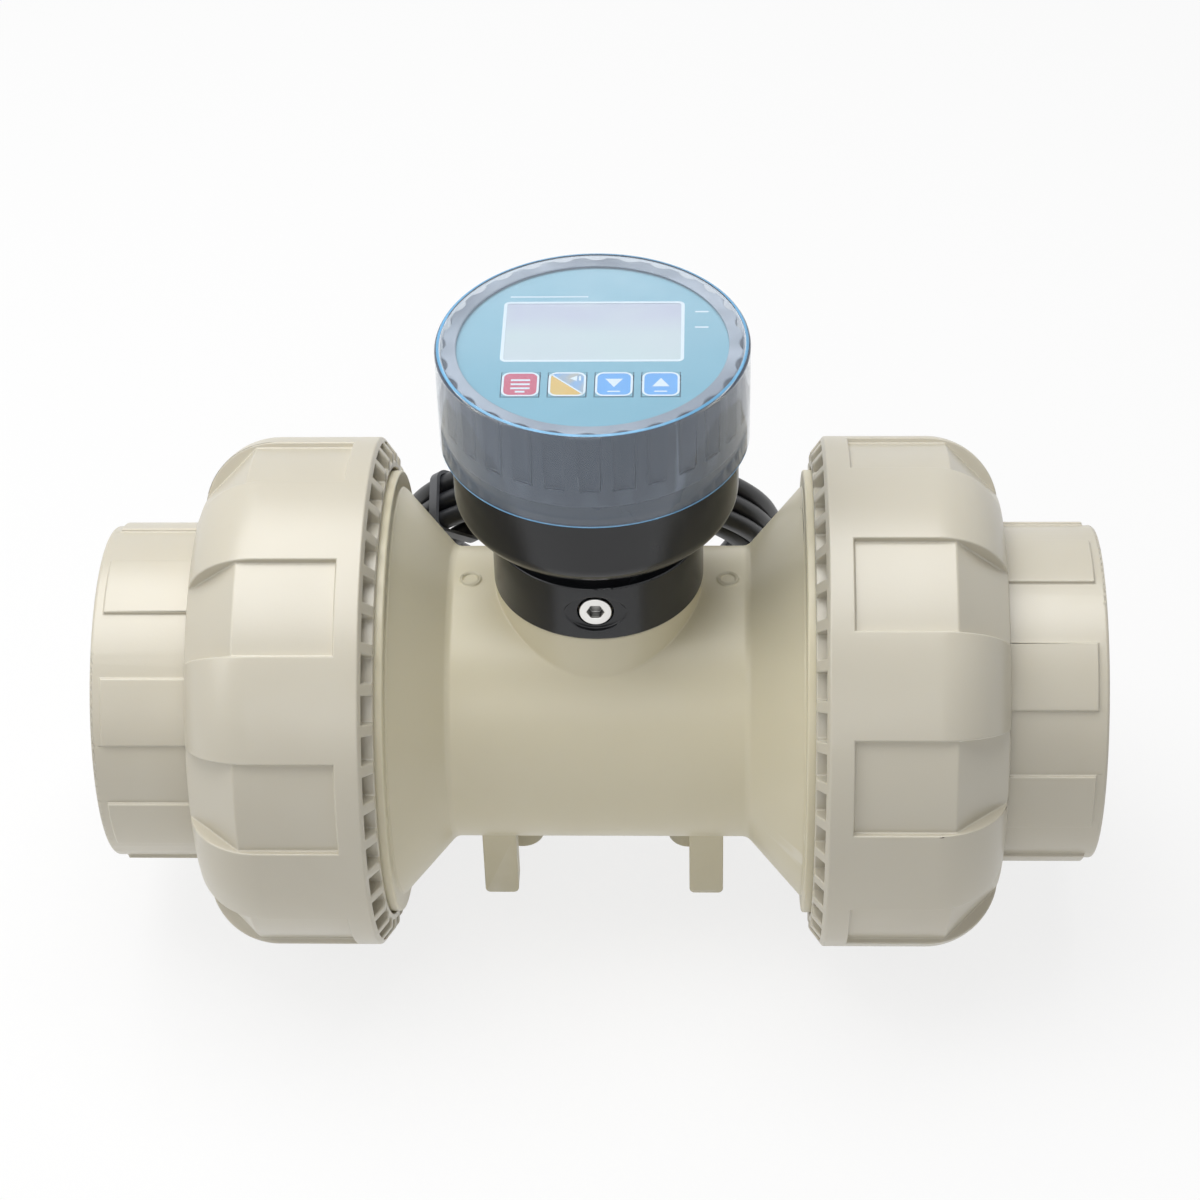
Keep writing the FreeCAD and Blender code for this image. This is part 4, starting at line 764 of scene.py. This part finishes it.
@dataclass
class Head:
    """The black collar, its locking screw, the bowl, the bezel ring and the clear cap."""

    collar_edge: float = 0.35
    screw_edge: float = 0.3
    bowl_edge: float = 0.4
    ring_edge: float = 0.35
    cap_edge: float = 1.2
    cap_wall: float = 1.1
    cap_roof: float = 0.8
    cap_inner_edges: tuple[float, float, float] = (0.6, 0.3, 0.15)
    cap_steps: int = 144
    lit_inner: float = 1.08
    lit_outer: float = 0.45
    lit_depth: float = 0.75
    lit_foot: float = 0.6
    socket_depth: float = 0.7
    lip_height: float = 0.35
    lip_grey: str = "e6e8ee"

    def build(self) -> None:
        """Ease each moulding; the ring's top face is light grey and its sharp edges carry a painted
        highlight, and the screw's socket carries painted shade.
        """
        eased_piece("neck_collar", "neck_collar_moulding", self.collar_edge)
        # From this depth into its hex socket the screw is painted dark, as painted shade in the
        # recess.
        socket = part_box("lock_screw")[0].y / MM + self.socket_depth
        steel = FINISHES["screw_steel"]
        eased_piece("lock_screw", "lock_screw_turned", self.screw_edge, 3,
                    SplitFinish("screw_with_oiled_socket", steel.colour, steel.mottle_colour,
                                steel.roughness, steel.swing, steel.grain, steel.grain_height,
                                steel.mottle, metallic=1.0, other_colour="2c2d2f",
                                normal=(0.0, 1.0, 0.0), distance=socket, blend=0.2))
        eased_piece("head_housing", "head_bowl", self.bowl_edge)
        self.build_cap()
        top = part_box("bezel_ring")[1].z / MM
        # The near-white edge colour on this dark ring is a painted highlight along its flutes and
        # rim.
        ring = SplitFinish("bezel_ring_with_grey_lip", "2a2d33", "30333a", 0.3, 0.04, 1400.0,
                           0.0, 18.0, worn_colour="b4bac4", other_colour=self.lip_grey,
                           distance=top - self.lip_height, blend=0.1)
        eased_piece("bezel_ring", "bezel_ring_fluted", self.ring_edge, 2, ring)

    def build_cap(self) -> None:
        """Turn the cap, and paint its top and bottom edges with a blue tint and a glow that stand
        in for the light carried in them.
        """
        low, high = (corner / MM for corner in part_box("dust_cap"))
        outside, inside, roof = high.x, high.x - self.cap_wall, high.z - self.cap_roof
        bm = spun([(0.0, roof), (inside, roof), (inside, low.z), (outside, low.z),
                   (outside, high.z), (0.0, high.z)], self.cap_steps)
        top_in, foot_out, foot_in = self.cap_inner_edges
        for radius, height, width in ((outside, high.z, self.cap_edge), (inside, roof, top_in),
                                      (outside, low.z, foot_out), (inside, low.z, foot_in)):
            ring = [edge for edge in bm.edges
                    if all(abs(v.co.z - height) < 0.01 and abs(v.co.xy.length - radius) < 0.01
                           for v in edge.verts)]
            bmesh.ops.bevel(bm, geom=ring, offset=width, offset_type="OFFSET", segments=5,
                            profile=0.5, affect="EDGES", material=-1)
        cap = make_piece("dust_cap_turned", bm, body_of("dust_cap"), "clear_cap")
        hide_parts("dust_cap")
        cap.data.materials.append(LIT_EDGE.material())
        for face in cap.data.polygons:
            reach, height = face.center.xy.length / MM, face.center.z / MM
            rounded = outside - self.lit_inner < reach < outside - self.lit_outer
            top_edge = rounded and height > high.z - self.lit_depth
            foot = height < low.z + self.lit_foot and reach > inside
            face.material_index = int(top_edge or foot)


@dataclass
class Display:
    """The printed face, its four keys, and the window of the display."""

    ink_lift: float = 0.03
    window_line: float = 0.85
    window_corner: float = 1.6
    key_line: float = 0.55
    key_corner: float = 2.2
    key_inset: float = 0.62
    key_edge: float = 0.12
    bar_width: float = 0.7
    rule_length: float = 20.0
    mark_length: float = 3.4
    key_slots: tuple[tuple[str, str], ...] = (
        ("key_mode", "key_red"), ("key_shift", "key_mixed"),
        ("key_down", "key_blue"), ("key_up", "key_blue"))

    @staticmethod
    def rounded(low: Vector, high: Vector, corner: float, height: float) -> bmesh.types.BMesh:
        """Return one flat rectangle with round corners, in millimetres.

        Args:
            low: Its lower left corner.
            high: Its upper right corner.
            corner: Radius of its corners.
            height: Height above the floor.

        Returns:
            The flat shape.
        """
        bm = bmesh.new()
        bmesh.ops.create_grid(bm, x_segments=1, y_segments=1, size=0.5)
        size, middle = high - low, (low + high) / 2
        bmesh.ops.scale(bm, vec=(size.x, size.y, 1.0), verts=bm.verts)
        bmesh.ops.translate(bm, vec=(middle.x, middle.y, height), verts=bm.verts)
        bmesh.ops.bevel(bm, geom=list(bm.verts), offset=corner, segments=8, profile=0.5,
                        affect="VERTICES", material=-1)
        return bm

    def outline(self, low: Vector, high: Vector, corner: float, height: float,
                line: float) -> bmesh.types.BMesh:
        """Return a printed line round a rounded rectangle, in millimetres.

        Args:
            low: Its lower left corner.
            high: Its upper right corner.
            corner: Radius of its outer corners.
            height: Height above the floor.
            line: Width of the line.

        Returns:
            The flat line.
        """
        bm = self.rounded(low, high, corner, height)
        inner = bmesh.ops.inset_region(bm, faces=list(bm.faces), thickness=line,
                                       use_boundary=True, use_even_offset=True)["faces"]
        bmesh.ops.delete(bm, geom=[face for face in bm.faces if face not in inner],
                         context="FACES")
        return bm

    @staticmethod
    def patch(corners: Sequence[tuple[float, float]], height: float) -> bmesh.types.BMesh:
        """Return one printed patch with straight sides, in millimetres.

        Args:
            corners: Its corners as (x, y).
            height: Height above the floor.

        Returns:
            The flat patch.
        """
        bm = bmesh.new()
        bm.faces.new([bm.verts.new((x, y, height)) for x, y in corners])
        return bm

    def bar(self, x: float, y: float, length: float, width: float,
            height: float) -> bmesh.types.BMesh:
        """Return one printed bar.

        Args:
            x: Its left end.
            y: Its lower side.
            length: Its length along X.
            width: Its width along Y.
            height: Height above the floor.

        Returns:
            The bar, in millimetres.
        """
        return self.patch([(x, y), (x + length, y), (x + length, y + width), (x, y + width)],
                          height)

    def signs(self, key: str, middle: Vector, height: float) -> bmesh.types.BMesh:
        """Print the sign of one key: bars, a small arrow, or a triangle over a bar.

        Args:
            key: The key's node.
            middle: The middle of the key.
            height: Height of its face.

        Returns:
            The printed patches, in millimetres.
        """
        x, y = middle.x, middle.y
        bm = bmesh.new()
        if key == "key_mode":
            for step, half in ((1.7, 2.4), (0.0, 2.4), (-1.7, 2.4), (-3.1, 1.2)):
                join(bm, self.bar(x - half, y + step - self.bar_width / 2, 2 * half,
                                  self.bar_width, height))
        elif key == "key_shift":
            reach, half = 4.1, 0.3
            join(bm, self.patch([(x - reach, y + reach - half), (x + reach - half, y - reach),
                                 (x + reach, y - reach + half),
                                 (x - reach + half, y + reach)], height))
            join(bm, self.patch([(x + 0.6, y + 2.4), (x + 2.4, y + 1.3),
                                 (x + 2.4, y + 3.5)], height))
            join(bm, self.bar(x + 2.9, y + 1.5, 0.5, 1.8, height))
        else:
            point = 1 if key == "key_up" else -1
            foot = y + 0.6 - 1.6 * point
            join(bm, self.patch([(x - 2.2, foot), (x + 2.2, foot),
                                 (x, y + 0.6 + 1.9 * point)], height))
            join(bm, self.bar(x - 1.6, y - 3.3, 3.2, 0.5, height))
        return bm

    def build_key(self, key: str, slot: str) -> None:
        """Dress one key: film, a rounded field of colour, a white line and its sign.

        Args:
            key: The key's node.
            slot: The material slot of its colour.
        """
        low, high = (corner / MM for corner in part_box(key))
        inset = Vector((self.key_inset, self.key_inset, 0))
        body, top = body_of(key), high.z
        eased_piece(key, f"{key}_cap", self.key_edge, 2, FINISHES["face_print"])
        field = self.rounded(low + inset, high - inset, self.key_corner, top + self.ink_lift)
        make_piece(f"{key}_colour", field, body, slot)
        line = self.outline(low + inset, high - inset, self.key_corner, top + 2 * self.ink_lift,
                            self.key_line)
        join(line, self.signs(key, (low + high) / 2, top + 2 * self.ink_lift))
        make_piece(f"{key}_white_print", line, body, slot, WHITE_INK)

    def build(self) -> None:
        """Print the window's outline and the marks, and dress the keys."""
        low, high = (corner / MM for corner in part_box("lcd_window"))
        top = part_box("face_panel")[1].z / MM + self.ink_lift
        grow = Vector((self.window_line, self.window_line, 0)) * 0.6
        frame_line = self.outline(low - grow, high + grow, self.window_corner, top,
                                  self.window_line)
        join(frame_line, self.bar(low.x + 1.0, high.y + 2.4, self.rule_length, 0.5, top))
        for place in (high.y - 4.4, high.y - 11.2):
            join(frame_line, self.bar(high.x + 3.2, place, self.mark_length, 0.6, top))
        make_piece("face_panel_white_print", frame_line, body_of("face_panel"), "face_print",
                   WHITE_INK)
        for key, slot in self.key_slots:
            self.build_key(key, slot)


@dataclass
class Cable:
    """The black lead, its tied coil behind the meter, and its bare end, as one cord."""

    radius: float = 2.75
    exit: Point = (0.0, 53.9, 150.5)
    lead: tuple[Point, ...] = ((0, 70, 150.5), (2, 85, 144), (6, 95, 131), (13, 99.5, 111),
                               (23, 100.5, 88), (35, 100, 65), (40.5, 101.5, 41))
    tail: tuple[Point, ...] = ((-27, 110.5, 3.2), (-46, 116, 2.9))
    centre: Point = (-6.0, 84.8, 52.68)
    lean: float = 30.0
    outer: float = 54.15
    pitch: float = 5.6
    join_angle: float = -45.0
    turns: int = 5
    points_per_turn: int = 24
    step_turn: float = 30.0
    slack: float = 4.2
    slack_reach: float = 60.0
    length: float = 1.87
    tie_angles: tuple[float, float] = (140.0, -5.0)
    strap_width: float = 3.6
    strap_thickness: float = 1.0
    lock_size: Point = (2.6, 5.2, 4.6)
    stub_size: Point = (2.4, 1.0, 3.2)
    stub_offset: float = 0.6

    def on_coil(self, angle: float, radius: float, depth: float) -> Vector:
        """Return one point of the leaning coil.

        Args:
            angle: Angle round the coil, in degrees.
            radius: Distance from the coil's middle.
            depth: Distance behind the coil's middle plane.

        Returns:
            The point, in millimetres.
        """
        lean = math.radians(self.lean)
        up = Vector((0, -math.sin(lean), math.cos(lean)))
        back = Vector((0, math.cos(lean), math.sin(lean)))
        turn = math.radians(angle)
        return (Vector(self.centre) + Vector((1, 0, 0)) * (radius * math.cos(turn))
                + up * (radius * math.sin(turn)) + back * depth)

    def slots(self) -> list[tuple[float, float]]:
        """List the six places in the coil's section.

        Returns:
            Each place as (radius, depth), in winding order.
        """
        inner = self.outer - self.pitch
        return [(self.outer, self.pitch), (inner, self.pitch), (inner, 0.0),
                (inner, -self.pitch), (self.outer, -self.pitch), (self.outer, 0.0)]

    def place_at(self, wound: float) -> tuple[float, float]:
        """Return the strand's place after a number of degrees of winding.

        Each strand steps over to the next free place in turn, so no two meet on the way: three
        of them after the tail has left the coil, and two before the lead joins it.

        Args:
            wound: Degrees wound since the lead joined the coil.

        Returns:
            The strand's radius and depth in the coil.
        """
        slots = self.slots()
        turn, inside = divmod(wound, 360.0)
        moves = ((4, 50.0), (3, 80.0), (2, 110.0), (1, 285.0), (0, 315.0))
        place = float(turn)
        for strand, start in moves:
            if int(turn) == strand:
                share = min(max((inside - start) / self.step_turn, 0.0), 1.0)
                place += share * share * (3 - 2 * share)
        low = min(int(place), 5)
        high, share = min(low + 1, 5), place - low
        radius, depth = (a + (b - a) * share for a, b in zip(slots[low], slots[high]))
        return radius - self.loosened(place, self.join_angle - wound), depth

    def loosened(self, place: float, angle: float) -> float:
        """Return how far an inner turn hangs in from the others, by the coil's left side.

        Args:
            place: The strand's place among the slots.
            angle: Its angle round the coil, in degrees.

        Returns:
            The distance in millimetres.
        """
        for slot, middle in ((3, 145.0), (1, 215.0)):
            away = abs((angle - middle + 180.0) % 360.0 - 180.0)
            if abs(place - slot) < 1.0 and away < self.slack_reach:
                swell = 0.5 + 0.5 * math.cos(math.pi * away / self.slack_reach)
                return self.slack * swell * (1.0 - abs(place - slot))
        return 0.0

    def route(self) -> list[Vector]:
        """Work out the cord's control points.

        Returns:
            The points in millimetres, from the gland to the bare end.
        """
        step = 360.0 / self.points_per_turn
        swell = 1 / math.cos(math.radians(step / 2))
        points = [Vector(self.exit), *(Vector(p) for p in self.lead)]
        count = self.turns * self.points_per_turn + round(-self.join_angle / step)
        for number in range(1, count + 1):
            wound = number * step
            radius, depth = self.place_at(wound)
            points.append(self.on_coil(self.join_angle - wound, radius * swell, depth))
        return points + [Vector(p) for p in self.tail]

    def build(self) -> None:
        """Lay the cord along its route and put its ties and cores on it."""
        curve = bpy.data.curves.new("cable", "CURVE")
        curve.dimensions = "3D"
        curve.bevel_depth = self.radius * MM
        curve.bevel_resolution = 6
        curve.resolution_u = 6
        curve.use_fill_caps = True
        spline = curve.splines.new("NURBS")
        route = self.route()
        spline.points.add(len(route) - 1)
        for point, place in zip(spline.points, route):
            point.co = (*(place * MM), 1.0)
        spline.order_u = 3
        spline.use_endpoint_u = True
        cable = bpy.data.objects.new("cable", curve)
        bpy.context.scene.collection.objects.link(cable)
        dress(cable, FINISHES["cable_jacket"])
        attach(cable, "meter")
        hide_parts("cable_lead", "cable_coil", "cable_tail")
        ties = self.ties()
        ends = copied_piece("wire_ends", "wire_ends_coloured")
        copied_piece("supply_cores", "supply_cores_coloured")
        log.info("cable: %d control points", len(route))

    def ties(self) -> bpy.types.Object:
        """Make the two grey ties, each a strap round the strands with its square lock.

        Returns:
            The piece that stands for both ties.
        """
        bm = bmesh.new()
        lean = math.radians(self.lean)
        back = Vector((0, math.cos(lean), math.sin(lean)))
        half_wide = self.pitch + self.radius
        for angle, slack in zip(self.tie_angles, (self.slack, 0.0)):
            half_deep = (self.pitch + slack) / 2 + self.radius
            middle = self.on_coil(angle, self.outer - (self.pitch + slack) / 2, 0.0)
            outward = (self.on_coil(angle, self.outer, 0.0) - middle).normalized()
            along = outward.cross(back)
            turn = Matrix((outward, back, along)).transposed().to_4x4()
            strap = bmesh.new()
            bmesh.ops.create_grid(strap, x_segments=1, y_segments=1, size=1.0)
            bmesh.ops.scale(strap, vec=(half_deep, half_wide, 1), verts=strap.verts)
            bmesh.ops.bevel(strap, geom=list(strap.verts), offset=self.radius, segments=6,
                            profile=0.5, affect="VERTICES", material=-1)
            thick = self.strap_thickness
            bmesh.ops.scale(strap, vec=((half_deep + thick) / half_deep,
                                        (half_wide + thick) / half_wide, 1), verts=strap.verts)
            ring = bmesh.ops.inset_region(strap, faces=list(strap.faces), thickness=thick,
                                          use_boundary=True, use_even_offset=True)["faces"]
            bmesh.ops.delete(strap, geom=[f for f in strap.faces if f not in ring],
                             context="FACES")
            grown = bmesh.ops.extrude_face_region(strap, geom=list(strap.faces))["geom"]
            bmesh.ops.translate(strap, vec=(0, 0, self.strap_width),
                                verts=[v for v in grown if isinstance(v, bmesh.types.BMVert)])
            bmesh.ops.translate(strap, vec=(0, 0, -self.strap_width / 2), verts=strap.verts)
            for size, out, aside in ((self.lock_size, self.lock_size[0] / 2, 0.0),
                                     (self.stub_size, self.stub_size[0], self.stub_offset)):
                block = bmesh.ops.create_cube(strap, size=1.0)["verts"]
                bmesh.ops.scale(strap, vec=size, verts=block)
                bmesh.ops.translate(strap, vec=(-half_deep - out, aside, 0.0), verts=block)
            bmesh.ops.recalc_face_normals(strap, faces=strap.faces)
            strap.transform(Matrix.Translation(middle) @ turn)
            join(bm, strap)
        piece = make_piece("cable_tie_straps", bm, "meter", "tie_grey")
        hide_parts("cable_ties")
        return piece


@dataclass
class Studio:
    """The camera, in millimetres, and the soft lamps and the pale floor, in metres."""

    stand: Point = (30.7, -676.5, 672.4)
    azimuth: float = 3.12
    elevation: float = 41.64
    roll: float = -2.0
    lens: float = 98.5
    shift: tuple[float, float] = (0.0167, 0.0755)
    aim_height: float = 0.08
    floor_reach: float = 4.0
    floor_drop: float = 0.0002
    floor_white: float = 0.8
    room_light: float = 0.25

    def camera(self) -> None:
        """Place the camera by its azimuth, elevation and roll."""
        data = bpy.data.cameras.new("camera")
        data.lens = self.lens
        data.sensor_width = 36.0
        data.shift_x, data.shift_y = self.shift
        turn, rise, roll = (math.radians(a) for a in (self.azimuth, self.elevation, self.roll))
        back = Vector((math.sin(turn) * math.cos(rise), -math.cos(turn) * math.cos(rise),
                       math.sin(rise)))
        right = Vector((math.cos(turn), math.sin(turn), 0.0))
        up = back.cross(right)
        across = right * math.cos(roll) + up * math.sin(roll)
        upward = up * math.cos(roll) - right * math.sin(roll)
        camera = bpy.data.objects.new("camera", data)
        camera.matrix_world = (Matrix.Translation(Vector(self.stand) * MM)
                               @ Matrix((across, upward, back)).transposed().to_4x4())
        bpy.context.scene.collection.objects.link(camera)
        bpy.context.scene.camera = camera

    def lamp(self, name: str, place: Point, size: float, watts: float) -> None:
        """Hang one square soft lamp that faces the middle of the meter.

        Args:
            name: The lamp's name.
            place: Its place, in metres.
            size: Its side, in metres.
            watts: Its power.
        """
        data = bpy.data.lights.new(name, "AREA")
        data.size = size
        data.energy = watts
        lamp = bpy.data.objects.new(name, data)
        lamp.location = place
        aim = Vector((0, 0, self.aim_height)) - Vector(place)
        lamp.rotation_euler = aim.to_track_quat("-Z", "Y").to_euler()
        bpy.context.scene.collection.objects.link(lamp)

    def shown(self, graph: Graph) -> bpy.types.NodeSocket:
        """Return a mask of the rays that should see the white background.

        Args:
            graph: The graph that the mask goes into.

        Returns:
            The mask's socket, which gives 1 for camera, glossy and transmitted rays.
        """
        path = graph.node("LightPath")
        first = graph.node("Math", {0: path.outputs["Is Camera Ray"],
                                    1: path.outputs["Is Glossy Ray"]}, operation="MAXIMUM")
        return graph.node("Math", {0: first.outputs[0],
                                   1: path.outputs["Is Transmission Ray"]},
                          operation="MAXIMUM").outputs[0]

    def floor(self) -> None:
        """Lay the pale floor, which shows nearly white and keeps a soft shadow."""
        bm = bmesh.new()
        bmesh.ops.create_grid(bm, x_segments=1, y_segments=1, size=self.floor_reach)
        bmesh.ops.translate(bm, vec=(0, 0, -self.floor_drop), verts=bm.verts)
        mesh = bpy.data.meshes.new("floor")
        bm.to_mesh(mesh)
        bm.free()
        floor = bpy.data.objects.new("floor", mesh)
        bpy.context.scene.collection.objects.link(floor)
        made = bpy.data.materials.new("pale_floor")
        made.use_nodes = True
        made.node_tree.nodes.clear()
        graph = Graph(made.node_tree)
        matt = graph.node("BsdfDiffuse", {"Color": linear("f4f4f4")})
        glow = graph.node("Emission", {"Color": linear("ffffff"), "Strength": 1.0})
        share = graph.times(self.shown(graph), self.floor_white)
        mix = graph.node("MixShader", {0: share, 1: matt.outputs[0], 2: glow.outputs[0]})
        graph.node("OutputMaterial", {"Surface": mix.outputs[0]})
        mesh.materials.append(made)

    def world(self) -> None:
        """Fill the room with even light, and show it as white."""
        world = bpy.data.worlds.new("room")
        world.use_nodes = True
        world.node_tree.nodes.clear()
        graph = Graph(world.node_tree)
        strength = graph.ranged(self.shown(graph), 0.0, 1.0, self.room_light, 1.0)
        light = graph.node("Background", {"Color": linear("ffffff"), "Strength": strength})
        graph.node("OutputWorld", {"Surface": light.outputs[0]})
        bpy.context.scene.world = world

    def build(self) -> None:
        """Set up the whole studio."""
        self.camera()
        self.floor()
        self.world()
        self.lamp("overhead_softbox", (-0.2, 0.12, 1.2), 1.1, 13.0)
        self.lamp("front_softbox", (-0.1, -1.15, 0.75), 0.5, 1.1)
        self.lamp("left_softbox", (-0.95, -0.3, 0.8), 0.6, 2.2)
        bpy.context.scene.view_settings.view_transform = "Standard"


def dress_packed_nodes(nodes: Iterable[str]) -> None:
    """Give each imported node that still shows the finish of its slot.

    Args:
        nodes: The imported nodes' names.
    """
    for node in nodes:
        piece = frame["nodes"][node]
        if not piece.hide_render:
            dress(piece, FINISHES[SLOT_OF_NODE[node]])


def main() -> None:
    """Build the studio and every part of the meter, in order."""
    logging.basicConfig(level=logging.INFO, format="%(message)s")
    for part in (Studio(), Cable(), PipeBody(), Unions(), Head(), Display()):
        part.build()
        log.info("%s done", type(part).__name__)
    dress_packed_nodes(frame["nodes"])


if __name__ == "__main__":
    main()
